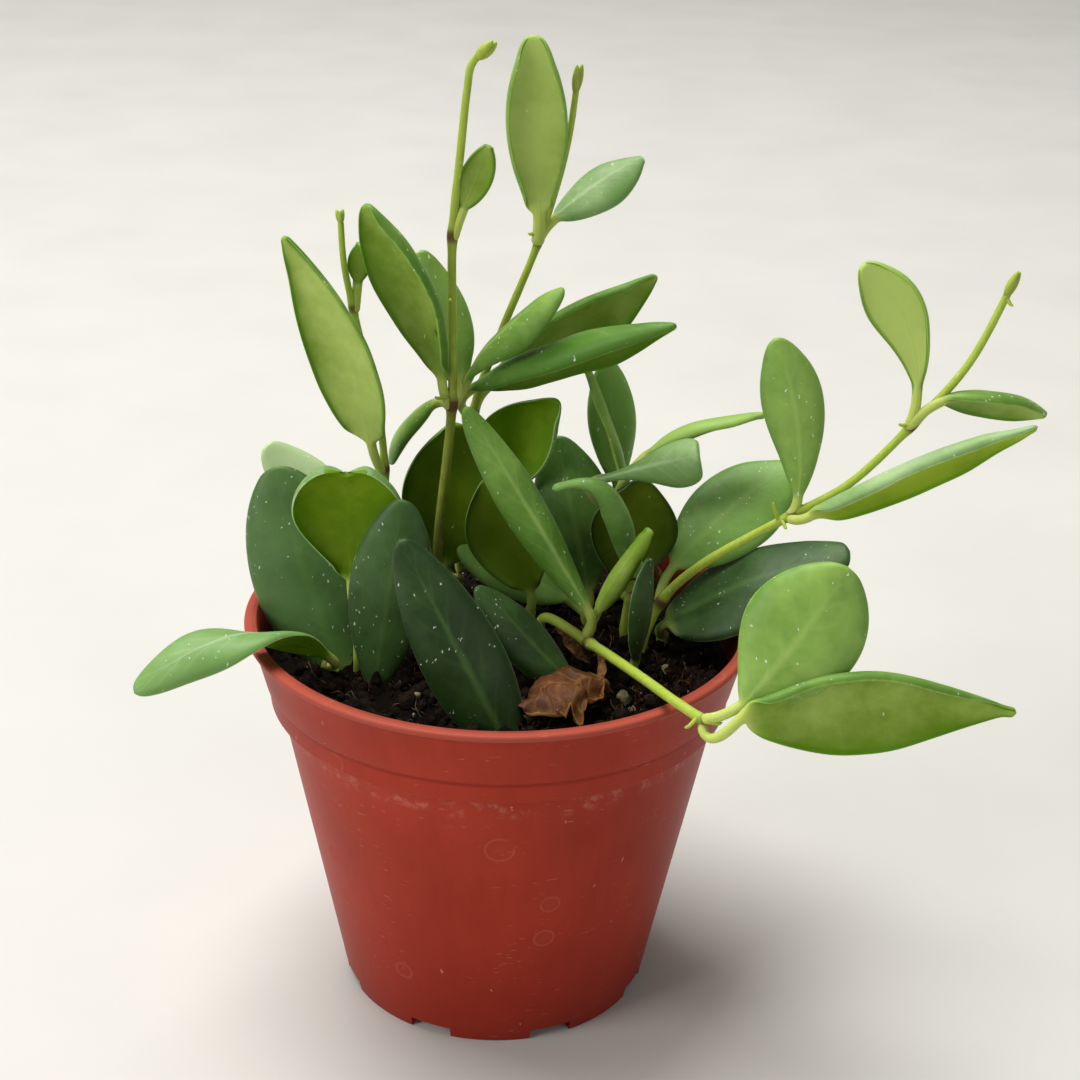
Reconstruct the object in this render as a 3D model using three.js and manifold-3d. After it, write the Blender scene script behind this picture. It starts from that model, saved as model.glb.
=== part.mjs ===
// A young hoya in a moulded nursery pot: thick folded leaves on trailing stems, rooted in dark soil.
// Millimetres, +Z up. The origin is the centre of the pot's base, on the surface that it stands on.
// -Y is the front, where the short leaves lean over the rim, and +X is the side of the long trailing stem.
import * as THREE from "three";
import { mergeVertices } from "three/addons/utils/BufferGeometryUtils.js";
import Module from "manifold-3d";

const wasm = await Module();
wasm.setup();

// ---------- driving dimensions ----------
const POT = {
  height: 84,
  rimRadius: 52.5, // outside of the lip
  lipHeight: 1.6,
  lipRounding: 0.4,
  bandTopRadius: 51.3, // the smooth band below the lip
  stepDrop: 13, // below the rim, where the band has a small step
  stepRadius: 48.6,
  stepDepth: 0.7,
  bandDrop: 17.2, // below the rim, where the band ends and the wall steps in to the body
  bandFootRadius: 47.6,
  bodyTopRadius: 45.6,
  shoulderHeight: 0.6, // of the sloped face under the band
  footRadius: 32.7,
  footRing: 2.2, // thickness of the ring that the pot stands on
  wall: 1.3,
  floor: 1.6,
  discRadius: 20, // the flat middle of the base
  channelHeight: 2.4, // of the raised channel between the disc and the foot ring
  channelSlope: 1.2,
  drainHoles: 8,
  drainRadius: 3,
  drainCircle: 26,
  notchWidth: 9, // of the gaps that part the foot ring
  sides: 40,
};
const CLEARANCE = 0.35; // between touching pieces
const SOIL = {
  level: 75, // height of its top above the surface that the pot stands on
  wallGap: 0.55,
  edgeDrop: 0.8,
  bump: 0.9,
  rings: 5,
  sides: 26,
  crumbs: 16,
  seed: 11,
};
const STEM_ROOT_DEPTH = 12; // how deep a stem stands in its hole in the soil
const LEAF = {
  around: 10,
  along: 11,
  petioleRings: 2,
  petioleRadius: 1,
  thickness: 1.7, // at the midrib
  edge: 1.1, // thickness at the margin
  sunk: 1.6, // how far the stalk starts back inside the stem
};
const STEM_SIDES = 6;

// ---------- colours ----------
const COLOURS = {
  terracotta: { color: 0x9c4033, roughness: 0.42 },
  peat: { color: 0x1d1713, roughness: 0.95 },
  oldLeaf: { color: 0x2f4f2a, roughness: 0.45 },
  youngLeaf: { color: 0x6f9a3c, roughness: 0.4 },
  withered: { color: 0x6b4526, roughness: 0.8 },
};

// ---------- which way a leaf's upper face looks ----------
const TO_FRONT = [0, -1, 0.25];
const TO_BACK = [0, 1, 0.15];

// ---------- the leafy stems ----------
// stem: the points that the stem follows, the first one at the soil.
// Of each leaf: from is the stem point that it grows at, base and tip are the ends of its blade,
// width is the blade's width laid flat, top is the way its upper face looks,
// fold is how far each half curls under (degrees),
// arch is how far the middle of the blade stands above the line from base to tip,
// skew brings the top of that arch nearer to the stalk, hook is how far the tip curls under,
// sway bends the blade sideways, twist turns it about its length (degrees),
// widest is how far along the blade its widest place is. A low blunt makes both ends rounder,
// and point does it for the tip alone. flare is how much of the fold is left at the tip on each side,
// opens is where along the blade it starts to open, and elbow pulls the stalk into a bend.
const LEAFY_STEMS = [
  {
    name: "vine_tall", tone: "youngLeaf", radius: 1.2, tipRadius: 0.75,
    stem: [
      [-14, 20, 75], [-14, 18, 90], [-11, 14, 124], [-11, 12, 160],
      [-9.5, 11, 177], [-8.3, 10.3, 189], [-7.4, 9.8, 194], [-3.6, 8.2, 198],
    ],
    leaves: [
      { from: 2, base: [-13, 13, 129], tip: [-27.5, 4, 168],
        width: 19.5, top: [0.6, 0.8, 0.1], fold: 60, arch: 3.5, sway: -1, widest: 0.55 },
      { from: 2, base: [-10, 17, 128], tip: [-18, 22, 154],
        width: 15, top: [0.2, -1, 0.2], fold: 40, arch: 1, widest: 0.42 },
      { from: 2, base: [-8, 17, 128], tip: [11.2, 4, 152], width: 12, top: [-0.5, -0.4, 0.7],
        fold: 75, arch: 2, widest: 0.6, blunt: 0.8, point: 0.7 },
      { from: 2, base: [-14, 17, 123], tip: [-24, 25, 106],
        width: 12, top: [-0.8, 0, 0.5], fold: 45, arch: 3 },
      { from: 3, base: [-9, 12, 165], tip: [-4, 12, 178], width: 7.5, top: TO_BACK, fold: 40, arch: 0.5 },
    ],
  },
  {
    name: "vine_left", tone: "youngLeaf", radius: 1.0, tipRadius: 0.65,
    stem: [
      [-25, 14, 75], [-25, 14.5, 92], [-25, 15, 109], [-26, 15, 120],
      [-31, 14, 144], [-32.5, 12, 154], [-33, 12, 163],
    ],
    leaves: [
      { from: 1, base: [-28, 13, 95], tip: [-49.5, 14, 114],
        width: 13.5, top: [0.2, -0.8, 0.5], fold: 25, arch: 1, sway: -1, point: 0.5 },
      { from: 2, base: [-27.5, 12, 116], tip: [-43, 2, 162], width: 18.5, top: [0.4, 0.9, 0.3],
        fold: 45, arch: 2.5, sway: -1.5, widest: 0.4, point: 0.75 },
      { from: 4, base: [-30, 14, 149], tip: [-29, 12, 158], width: 5, top: TO_BACK, fold: 30, arch: 0.3 },
    ],
  },
  {
    name: "vine_back", tone: "youngLeaf", radius: 1.1, tipRadius: 0.65,
    stem: [
      [-1, 34, 75], [-5, 32, 98], [-7, 27, 117], [-2, 26, 134],
      [6, 28, 155], [11, 27, 174], [13, 26, 190],
    ],
    leaves: [
      { from: 2, base: [-8, 21, 124], tip: [33, -4, 147.8],
        width: 20, top: [0, 0.35, 1], fold: 104, arch: 4, point: 0.85 },
      { from: 2, base: [-4, 27, 123], tip: [30, 18, 151],
        width: 18, top: [-0.3, 0.9, 0.35], fold: 45, arch: 2, point: 0.8 },
      { from: 4, base: [6, 28, 160], tip: [4, 22, 197.5],
        width: 15, top: TO_BACK, fold: 50, arch: 2, blunt: 0.5 },
      { from: 4, base: [9, 29, 159], tip: [27, 36, 170.5],
        width: 12, top: [-0.3, -0.6, 0.7], fold: 30, arch: 1, point: 0.75 },
    ],
  },
  {
    name: "vine_right", tone: "youngLeaf", radius: 1.05, tipRadius: 0.75,
    stem: [
      [29, -1, 75], [33, 0, 87], [40, -2, 96], [50, -4, 104], [58, -6, 110],
      [68, -7, 117], [79, -8, 130], [89, -6, 142], [97, -4, 160],
    ],
    leaves: [
      { from: 1, base: [35.5, 6, 92], tip: [61, 20, 110],
        width: 20, top: [-0.3, -0.7, 0.6], fold: 14, arch: 1, sway: -1 },
      { from: 4, base: [58.5, -6, 113], tip: [52.2, 0, 144.6],
        width: 14.4, top: TO_FRONT, fold: 40, arch: 1, sway: 2, widest: 0.6 },
      { from: 4, base: [61, -9, 111], tip: [102, -14, 133],
        width: 15, top: [-0.3, 0.75, 0.6], fold: 70, arch: 2, widest: 0.42, point: 0.8 },
      { from: 6, base: [79.5, -8, 136], tip: [67, -4, 161],
        width: 13, top: TO_BACK, fold: 40, arch: 1, sway: -3.4, widest: 0.66, point: 0.65 },
      { from: 6, base: [84, -8, 135], tip: [106, -3, 130.5],
        width: 14, top: [0.1, 0.6, 0.8], fold: 45, arch: 3 },
    ],
  },
  {
    name: "cutting_right_low", tone: "oldLeaf", radius: 1.3, tipRadius: 1.2,
    stem: [[34, 5, 75], [34, 5, 78]],
    leaves: [
      { from: 1, base: [34.5, 1.2, 81.5], tip: [71, 0.4, 99.4],
        width: 21.2, top: [-0.3, -0.4, 0.85], fold: 15, arch: 2.1, widest: 0.4, point: 0.45 },
    ],
  },
  {
    name: "runner_front", tone: "youngLeaf", radius: 1.1, tipRadius: 1.0,
    stem: [[8, 4, 75], [9, 2, 81.6], [18.2, -8, 81.2], [28, -30, 85.2], [33, -42, 87.3], [39, -50, 87]],
    leaves: [
      { from: 5, elbow: [40.8, -51.5, 88], base: [45, -52.5, 92], tip: [63, -46, 117.4], width: 23.4,
        top: [-0.2, -1, 0.2], fold: 30, arch: 1, sway: 0.9, widest: 0.54, blunt: 0.72, point: 0.55 },
      { from: 5, elbow: [39, -52.5, 80.5], base: [45, -54, 90.3], tip: [96.3, -48, 89.4], width: 20,
        top: [0, 1, -0.05], fold: 60, arch: 1, sway: 2, widest: 0.42, blunt: 0.74, point: 1.1 },
      { from: 2, base: [18, -8, 88], tip: [-8, 2, 128],
        width: 12.6, top: [0.4, -0.9, 0.2], fold: 75, arch: 1, widest: 0.55 },
      { from: 2, base: [20, -6.6, 88], tip: [29.6, -9.2, 107.4], width: 6.4, top: [0.4, 0.8, -0.4],
        fold: -95, arch: -1, widest: 0.4, blunt: 0.7, point: 0.6 },
    ],
  },
  {
    name: "cutting_centre", tone: "oldLeaf", radius: 1.3, tipRadius: 1.1,
    stem: [[6, 9, 75], [6, 9, 81]],
    leaves: [
      { from: 1, base: [6, 9, 84], tip: [-3, 10, 110], width: 20, top: [0.2, 1, 0.1], fold: 40, arch: 1 },
    ],
  },
  {
    name: "cutting_centre_back", tone: "oldLeaf", radius: 1.3, tipRadius: 1.1,
    stem: [[-10, 29, 75], [-10, 28, 79]],
    leaves: [
      { from: 1, base: [-12.5, 25.5, 82], tip: [-10.5, 24.5, 116], width: 24.5, top: TO_BACK, fold: 35, arch: 1 },
      { from: 1, elbow: [-10.5, 30, 90], base: [-6, 27.5, 100], tip: [10.9, 21.5, 122.6],
        width: 18, top: [0.3, 1, -0.2], fold: 40, arch: 1, widest: 0.5, point: 0.75 },
    ],
  },
  {
    name: "cutting_shaded", tone: "oldLeaf", radius: 1.3, tipRadius: 1.1,
    stem: [[18, 14, 75], [18, 14, 78]],
    leaves: [
      { from: 1, base: [18.5, 16, 81], tip: [11, 28, 112.2],
        width: 19, top: [-0.1, -0.9, 0.3], fold: 30, arch: 1 },
      { from: 1, base: [14, 16, 79], tip: [-10, 17, 90],
        width: 12, top: [0, -0.5, 0.9], fold: 25, arch: 1 },
    ],
  },
  {
    name: "cutting_rolled", tone: "oldLeaf", radius: 1.3, tipRadius: 1.1,
    stem: [[26, 8, 75], [27, 6, 86]],
    leaves: [
      { from: 1, base: [29, 1.5, 92], tip: [9.7, -4, 113.2], width: 12.4, top: [0.62, -0.35, 0.7], fold: 140,
        arch: 7, skew: -0.6, hook: 5, flare: [0.8, 0.8], opens: 0.7, widest: 0.42, blunt: 0.7, point: 1.2 },
      { from: 1, base: [24.6, 8.4, 86.8], tip: [28.6, 9.5, 110.3], width: 19.6, top: TO_BACK, fold: 40, arch: 1 },
    ],
  },
  {
    name: "cutting_folded", tone: "oldLeaf", radius: 1.2, tipRadius: 1.0,
    stem: [[29, 16, 75], [22, 14, 102]],
    leaves: [
      { from: 1, base: [19, 10, 109.5], tip: [39.4, 2, 118.6], width: 13, top: [-0.4, -0.7, 0.45],
        fold: 160, arch: 1, flare: [0.4, 0.4], opens: 0.1, widest: 0.72, blunt: 0.75, point: 0.2 },
      { from: 1, base: [29, 15, 113], tip: [53.5, 16, 122],
        width: 10, top: [-0.4, 0.4, 0.8], fold: 45, arch: 3 },
    ],
  },
  {
    name: "cutting_upright", tone: "oldLeaf", radius: 1.2, tipRadius: 1.0,
    stem: [[27, 29, 75], [25, 28, 96]],
    leaves: [
      { from: 1, base: [24, 28.5, 101], tip: [20.8, 27.5, 130.2],
        width: 11.5, top: TO_FRONT, fold: 25, arch: 1 },
      { from: 1, base: [25, 24, 102], tip: [15, 23, 131],
        width: 8, top: [0.9, 0.1, 0.3], fold: 35, arch: 2 },
    ],
  },
  {
    name: "cutting_slim", tone: "oldLeaf", radius: 1.1, tipRadius: 1.0,
    stem: [[27.5, -12, 75], [27.5, -12, 77]],
    leaves: [
      { from: 1, base: [27.5, -12, 79], tip: [29.2, -11, 102],
        width: 9, top: [0.8, -0.5, 0.2], fold: 30, arch: 1 },
    ],
  },
  {
    name: "cutting_left", tone: "oldLeaf", radius: 1.3, tipRadius: 1.1,
    stem: [[-35, -9, 75], [-35, -9, 76.5]],
    leaves: [
      { from: 1, base: [-34, -6.4, 77.2], tip: [-47, 5.6, 112.5],
        width: 26.6, top: [-0.1, -1, 0.3], fold: 22, arch: 1, widest: 0.47, blunt: 0.5 },
      { from: 1, base: [-33.5, -13.5, 78.6], tip: [-69, -36, 82], width: 12, top: [0, 0.98, 0.17],
        fold: 20, sway: -10.1, twist: -105, widest: 0.6, point: 0.5 },
    ],
  },
  {
    name: "cutting_heart", tone: "youngLeaf", radius: 1.1, tipRadius: 1.0,
    stem: [[-28.6, -10, 75], [-28.6, -8, 87]],
    leaves: [
      { from: 1, base: [-30.3, -4.5, 91.8], tip: [-30.6, -8, 117.8],
        width: 25, top: TO_BACK, fold: 45, arch: 3, widest: 0.6, blunt: 0.56, point: 0.33 },
    ],
  },
  {
    name: "cutting_front_left", tone: "oldLeaf", radius: 1.3, tipRadius: 1.1,
    stem: [[-24.8, -14.2, 75], [-24.8, -14.2, 76]],
    leaves: [
      { from: 1, base: [-24.3, -14.5, 76.4], tip: [-19.2, -11, 113.2],
        width: 18, top: TO_FRONT, fold: 25, arch: 1, widest: 0.54, blunt: 0.56 },
    ],
  },
  {
    name: "cutting_front", tone: "oldLeaf", radius: 1.3, tipRadius: 1.1,
    stem: [[0, -33, 75], [0, -33, 76]],
    leaves: [
      { from: 1, base: [0, -33, 76.4], tip: [-19, -25, 111],
        width: 18, top: [0.1, -1, 0.4], fold: 30, arch: 1, widest: 0.42, blunt: 0.55 },
    ],
  },
  {
    name: "cutting_small", tone: "oldLeaf", radius: 1.1, tipRadius: 1.0,
    stem: [[13, -15, 75], [13, -15, 76]],
    leaves: [
      { from: 1, base: [13, -15, 76.4], tip: [-5, -12, 95],
        width: 12, top: [0.5, -0.7, 0.5], fold: 30, arch: 1 },
    ],
  },
  {
    name: "dead_leaf", tone: "withered", radius: 0.9, tipRadius: 0.8,
    stem: [[21, -20, 75], [21, -21, 77.5]],
    leaves: [
      { from: 1, base: [20.5, -22.5, 80], tip: [5, -31, 78.5],
        width: 17, top: [-0.15, -0.3, 1], fold: 80, arch: 3, blunt: 0.5 },
    ],
  },
];

// ---------- small helpers ----------
const vector = (p) => new THREE.Vector3(...p);

// A seeded generator of numbers from 0 to 1, so that every run gives the same plant.
function randomFrom(seed) {
  let state = seed;
  return () => {
    state = (state * 1664525 + 1013904223) % 4294967296;
    return state / 4294967296;
  };
}

// A closed three.js geometry as a manifold-3d solid.
function solidOf(geometry) {
  const bare = geometry.clone();
  bare.deleteAttribute("normal");
  bare.deleteAttribute("uv");
  const merged = mergeVertices(bare, 1e-4);
  return new wasm.Manifold(
    new wasm.Mesh({
      numProp: 3,
      vertProperties: new Float32Array(merged.attributes.position.array),
      triVerts: new Uint32Array(merged.index.array),
    }),
  );
}

// A manifold-3d solid as a three.js geometry.
function geometryOf(solid) {
  const mesh = solid.getMesh();
  const geometry = new THREE.BufferGeometry();
  geometry.setAttribute("position", new THREE.BufferAttribute(mesh.vertProperties, 3));
  geometry.setIndex(new THREE.BufferAttribute(mesh.triVerts, 1));
  geometry.computeVertexNormals();
  return geometry;
}

function material(tone) {
  return new THREE.MeshStandardMaterial({ ...COLOURS[tone], metalness: 0 });
}

function part(name, solid, tone) {
  const mesh = new THREE.Mesh(geometryOf(solid), material(tone));
  mesh.name = name;
  return mesh;
}

// Moves each vertex of a geometry to place(x, y, z), which returns a THREE.Vector3.
function reshape(geometry, place) {
  const position = geometry.attributes.position;
  for (let i = 0; i < position.count; i += 1) {
    const p = place(position.getX(i), position.getY(i), position.getZ(i));
    position.setXYZ(i, p.x, p.y, p.z);
  }
  return geometry;
}

// ---------- stem ----------
function stemCurve(spec, extra) {
  const root = vector(spec.stem[0]);
  const buried = root.clone().setZ(root.z - STEM_ROOT_DEPTH - extra);
  return new THREE.CatmullRomCurve3([buried, ...spec.stem.map(vector)], false, "centripetal");
}

// A round tube along the curve, thinner towards its end. extra widens it, for the hole that it stands in.
function stemSolid(spec, extra = 0) {
  const curve = stemCurve(spec, extra);
  const rings = Math.max(3, spec.stem.length * 2);
  const frames = curve.computeFrenetFrames(rings, false);
  const tube = reshape(new THREE.CylinderGeometry(1, 1, 1, STEM_SIDES, rings), (x, y, z) => {
    const ring = Math.round((0.5 - y) * rings);
    const radius = THREE.MathUtils.lerp(spec.radius, spec.tipRadius, ring / rings) + extra;
    return curve
      .getPointAt(ring / rings)
      .addScaledVector(frames.normals[ring], x * radius)
      .addScaledVector(frames.binormals[ring], z * radius);
  });
  return solidOf(tube);
}

// ---------- leaf ----------
// The blade's outline: 0 at both ends and 1 at the widest place.
function outline(along, widest, blunt, point) {
  return Math.sin(Math.PI * along ** (Math.log(0.5) / Math.log(widest))) ** (along < widest ? blunt : point);
}

// One leaf with its stalk: a sphere drawn out along the stalk and then along the blade's midrib.
function leafSolid(spec, leaf) {
  const { widest = 0.52, blunt = 0.62, point: pointed = blunt, flare = [1, 1], opens = 0.6 } = leaf;
  const { arch = 0, hook = 0, sway = 0, twist = 0, skew = 0, fold = 30 } = leaf;
  const { along, around, petioleRings, petioleRadius, thickness, edge } = LEAF;
  const base = vector(leaf.base);
  const tip = vector(leaf.tip);
  const chord = tip.clone().sub(base);
  const forward = chord.clone().normalize();
  const side = forward.clone().cross(vector(leaf.top)).normalize();
  const top = side.clone().cross(forward);
  const bow = base.clone().addScaledVector(side, sway * 4 / 3);
  const midrib = new THREE.CubicBezierCurve3(
    base,
    bow.clone().addScaledVector(chord, 1 / 3).addScaledVector(top, arch * 4 / 3 * (1 + skew)),
    bow.clone().addScaledVector(chord, 2 / 3).addScaledVector(top, arch * 4 / 3 * (1 - skew) + hook)
      .addScaledVector(forward, hook * 1.5),
    tip,
  );
  const node = vector(spec.stem[leaf.from]);
  node.addScaledVector(vector(spec.stem[leaf.from - 1]).sub(node).normalize(), LEAF.sunk);
  const reach = node.distanceTo(base);
  const elbow = leaf.elbow
    ? vector(leaf.elbow)
    : base.clone().addScaledVector(midrib.getTangent(0), -reach * 0.5);
  const stalk = new THREE.QuadraticBezierCurve3(node, elbow, base);
  const foldLimit = THREE.MathUtils.degToRad(Math.abs(fold) < 1 ? 1 : fold);
  const bladeRings = along - petioleRings;
  const blade = reshape(new THREE.SphereGeometry(1, around, along, Math.PI / around), (x, y, z) => {
    const ring = Math.round(Math.acos(THREE.MathUtils.clamp(y, -1, 1)) / Math.PI * along);
    if (ring === 0) return node.clone();
    if (ring === along) return tip.clone();
    const size = Math.hypot(x, z);
    const onStalk = ring < petioleRings;
    const even = onStalk ? ring / petioleRings : (ring - petioleRings) / bladeRings;
    const share = onStalk ? even : THREE.MathUtils.lerp(even, (1 - Math.cos(Math.PI * even)) / 2, 0.55);
    const curve = onStalk ? stalk : midrib;
    const point = curve.getPoint(share);
    const tangent = curve.getTangent(share);
    const turned = THREE.MathUtils.degToRad(onStalk ? 0 : twist * THREE.MathUtils.smoothstep(share, 0, 0.8));
    const facing = top.clone().applyAxisAngle(forward, turned);
    const out = facing.clone().cross(tangent).normalize();
    const above = tangent.clone().cross(out);
    if (onStalk || ring === petioleRings) {
      return point
        .addScaledVector(out, x / size * petioleRadius)
        .addScaledVector(above, z / size * petioleRadius);
    }
    const halfWidth = Math.max(petioleRadius, leaf.width / 2 * outline(share, widest, blunt, pointed));
    const corner = Math.PI / around;
    const across = (Math.atan2(Math.abs(z), -x) - corner) / (Math.PI - 2 * corner) * 2 - 1;
    const halfThick = THREE.MathUtils.lerp(thickness, edge, Math.abs(across)) / 2 * Math.sign(z);
    const opened = THREE.MathUtils.smoothstep(share, opens, 0.95);
    const limit = foldLimit * THREE.MathUtils.lerp(1, flare[across < 0 ? 0 : 1], opened);
    const bend = halfWidth / limit;
    const turn = limit * across;
    return point
      .addScaledVector(out, (bend + halfThick) * Math.sin(turn))
      .addScaledVector(above, (bend + halfThick) * Math.cos(turn) - bend);
  });
  return solidOf(blade);
}

function leafyStem(spec) {
  const solid = spec.leaves.reduce((whole, leaf) => whole.add(leafSolid(spec, leaf)), stemSolid(spec));
  return part(spec.name, solid, spec.tone);
}

// ---------- pot ----------
function potSolid() {
  const p = POT;
  const bandFoot = p.height - p.bandDrop;
  const step = p.height - p.stepDrop;
  const lipFoot = p.height - p.lipHeight;
  const profile = [
    [0, 0],
    [p.discRadius, 0],
    [p.discRadius + p.channelSlope, p.channelHeight],
    [p.footRadius - p.footRing - p.channelSlope, p.channelHeight],
    [p.footRadius - p.footRing, 0],
    [p.footRadius, 0],
    [p.bodyTopRadius, bandFoot - p.shoulderHeight],
    [p.bandFootRadius, bandFoot],
    [p.stepRadius - p.stepDepth, step],
    [p.stepRadius, step + p.stepDepth],
    [p.bandTopRadius, lipFoot],
    [p.rimRadius, lipFoot + p.lipRounding],
    [p.rimRadius, p.height - p.lipRounding],
    [p.rimRadius - p.lipRounding, p.height],
    [p.bandTopRadius - p.wall, p.height],
    [p.stepRadius - p.stepDepth - p.wall, step],
    [p.bandFootRadius - p.wall - 0.3, bandFoot - p.shoulderHeight],
    [p.bodyTopRadius - p.wall, bandFoot - p.wall * 1.5],
    [p.footRadius - p.wall + 0.9, p.channelHeight + p.floor],
    [0, p.channelHeight + p.floor],
  ];
  // Lathe profiles turn about Y, so the finished pot is laid over onto +Z.
  const shell = new THREE.LatheGeometry(profile.map(([r, z]) => new THREE.Vector2(r, z)), p.sides);
  shell.rotateX(Math.PI / 2);
  let solid = solidOf(shell);
  if (solid.volume() < 0) throw new Error("pot profile runs the wrong way round");
  for (let i = 0; i < p.drainHoles; i += 1) {
    const angle = (i + 0.5) / p.drainHoles * 2 * Math.PI;
    const hole = new THREE.CylinderGeometry(p.drainRadius, p.drainRadius, p.floor * 8, 12)
      .rotateX(Math.PI / 2)
      .translate(p.drainCircle, 0, 0)
      .rotateZ(angle);
    const notch = new THREE.BoxGeometry(p.footRing * 4, p.notchWidth, p.channelHeight * 2)
      .translate(p.footRadius, 0, 0)
      .rotateZ(angle);
    solid = solid.subtract(solidOf(hole)).subtract(solidOf(notch));
  }
  return solid;
}

// ---------- soil ----------
function soilHeight(x, y) {
  return SOIL.bump * (Math.sin(x * 0.21 + 1.3) * Math.cos(y * 0.17) + 0.5 * Math.sin(x * 0.47 + y * 0.39));
}

function soilSolid() {
  const p = POT;
  const wall = p.wall + SOIL.wallGap;
  const bottom = p.channelHeight + p.floor + CLEARANCE;
  const topRadius = p.stepRadius - wall + 0.2;
  const profile = [
    [0, bottom],
    [p.footRadius - wall + 0.8, bottom],
    [p.bodyTopRadius - wall, p.height - p.bandDrop - p.wall * 1.5],
    [p.bandFootRadius - wall - 0.4, p.height - p.bandDrop],
    [topRadius - 0.8, p.height - p.stepDrop],
    [topRadius, SOIL.level - SOIL.edgeDrop],
  ];
  for (let ring = SOIL.rings; ring > 0; ring -= 1) {
    profile.push([(topRadius - SOIL.edgeDrop * 2) * ring / SOIL.rings, SOIL.level]);
  }
  profile.push([0, SOIL.level]);
  const lathe = new THREE.LatheGeometry(profile.map(([r, z]) => new THREE.Vector2(r, z)), SOIL.sides);
  lathe.rotateX(Math.PI / 2);
  const surface = reshape(lathe, (x, y, z) =>
    new THREE.Vector3(x, y, z > SOIL.level - 0.1 ? z + soilHeight(x, y) - SOIL.bump : z));
  let solid = solidOf(surface);
  const random = randomFrom(SOIL.seed);
  for (let i = 0; i < SOIL.crumbs; i += 1) {
    const angle = random() * 2 * Math.PI;
    const out = Math.sqrt(random()) * topRadius * 0.93;
    const size = 0.9 + random() * 1.3;
    const crumb = new THREE.IcosahedronGeometry(size, 0).scale(1, 0.8, 0.7).rotateZ(random() * 3);
    const x = out * Math.cos(angle);
    const y = out * Math.sin(angle);
    crumb.translate(x, y, SOIL.level + soilHeight(x, y) - SOIL.bump);
    solid = solid.add(solidOf(crumb));
  }
  solid = LEAFY_STEMS.reduce((whole, spec) => whole.subtract(stemSolid(spec, CLEARANCE)), solid);
  // A crumb that a hole has cut off is dropped.
  return solid.decompose().sort((a, b) => b.volume() - a.volume())[0];
}

// ---------- the whole plant ----------
const plant = new THREE.Group();
plant.add(part("pot", potSolid(), "terracotta"));
plant.add(part("soil", soilSolid(), "peat"));
LEAFY_STEMS.forEach((spec) => plant.add(leafyStem(spec)));

export default plant;
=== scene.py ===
"""A young hoya in a moulded nursery pot, dressed for its picture.

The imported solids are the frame: every piece here stands where its solid stands.
Shapes are worked out in millimetres, +Z up, with the origin under the middle of the pot,
and turned into metres when a piece is finished. -Y is the front.
"""

import math
import random

import bmesh
import bpy
from mathutils import Euler, Matrix, Vector, noise


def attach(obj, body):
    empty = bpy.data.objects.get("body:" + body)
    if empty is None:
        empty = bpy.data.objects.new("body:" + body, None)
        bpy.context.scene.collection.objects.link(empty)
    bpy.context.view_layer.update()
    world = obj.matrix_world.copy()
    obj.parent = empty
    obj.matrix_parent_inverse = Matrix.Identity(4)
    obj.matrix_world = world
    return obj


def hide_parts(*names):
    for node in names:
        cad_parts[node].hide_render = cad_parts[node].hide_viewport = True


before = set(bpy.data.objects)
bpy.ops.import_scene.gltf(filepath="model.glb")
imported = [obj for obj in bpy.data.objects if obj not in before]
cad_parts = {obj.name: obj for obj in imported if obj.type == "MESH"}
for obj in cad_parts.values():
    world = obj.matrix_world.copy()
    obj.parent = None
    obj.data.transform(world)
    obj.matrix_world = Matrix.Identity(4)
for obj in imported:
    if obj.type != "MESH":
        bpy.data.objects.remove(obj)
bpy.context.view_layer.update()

MM = 0.001
NOISE_SEED = 5  # so that every run crumples the dead leaf and the peat alike
noise.seed_set(NOISE_SEED)

# ---------- the pot ----------
POT = {
    "height": 84,
    "rim_radius": 52.5,
    "lip_height": 1.6,
    "lip_rounding": 0.4,
    "band_top_radius": 51.3,
    "step_drop": 13,
    "step_radius": 48.6,
    "step_depth": 0.7,
    "band_drop": 17.2,
    "band_foot_radius": 47.6,
    "body_top_radius": 45.6,
    "shoulder_height": 0.6,
    "shoulder_drop": 1.95,  # how far lower it is inside
    "foot_radius": 32.7,
    "foot_ring": 2.2,
    "wall": 1.3,
    "thicker_band": 0.3,
    "floor": 1.6,
    "floor_corner": 0.9,
    "disc_radius": 20,
    "channel_height": 2.4,
    "channel_slope": 1.2,
    "drain_holes": 8,
    "drain_radius": 3,
    "drain_circle": 26,
    "drain_depth": 14,
    "drain_sides": 32,
    "notch_width": 9,
    "edge_rounding": 0.24,
    "rounds_from": 22,  # edges that turn by more degrees than this are rounded
    "sharp_from": 32,  # and these stay sharp in the shading
    "sides": 144,
    "row_height": 7,
}
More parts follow.
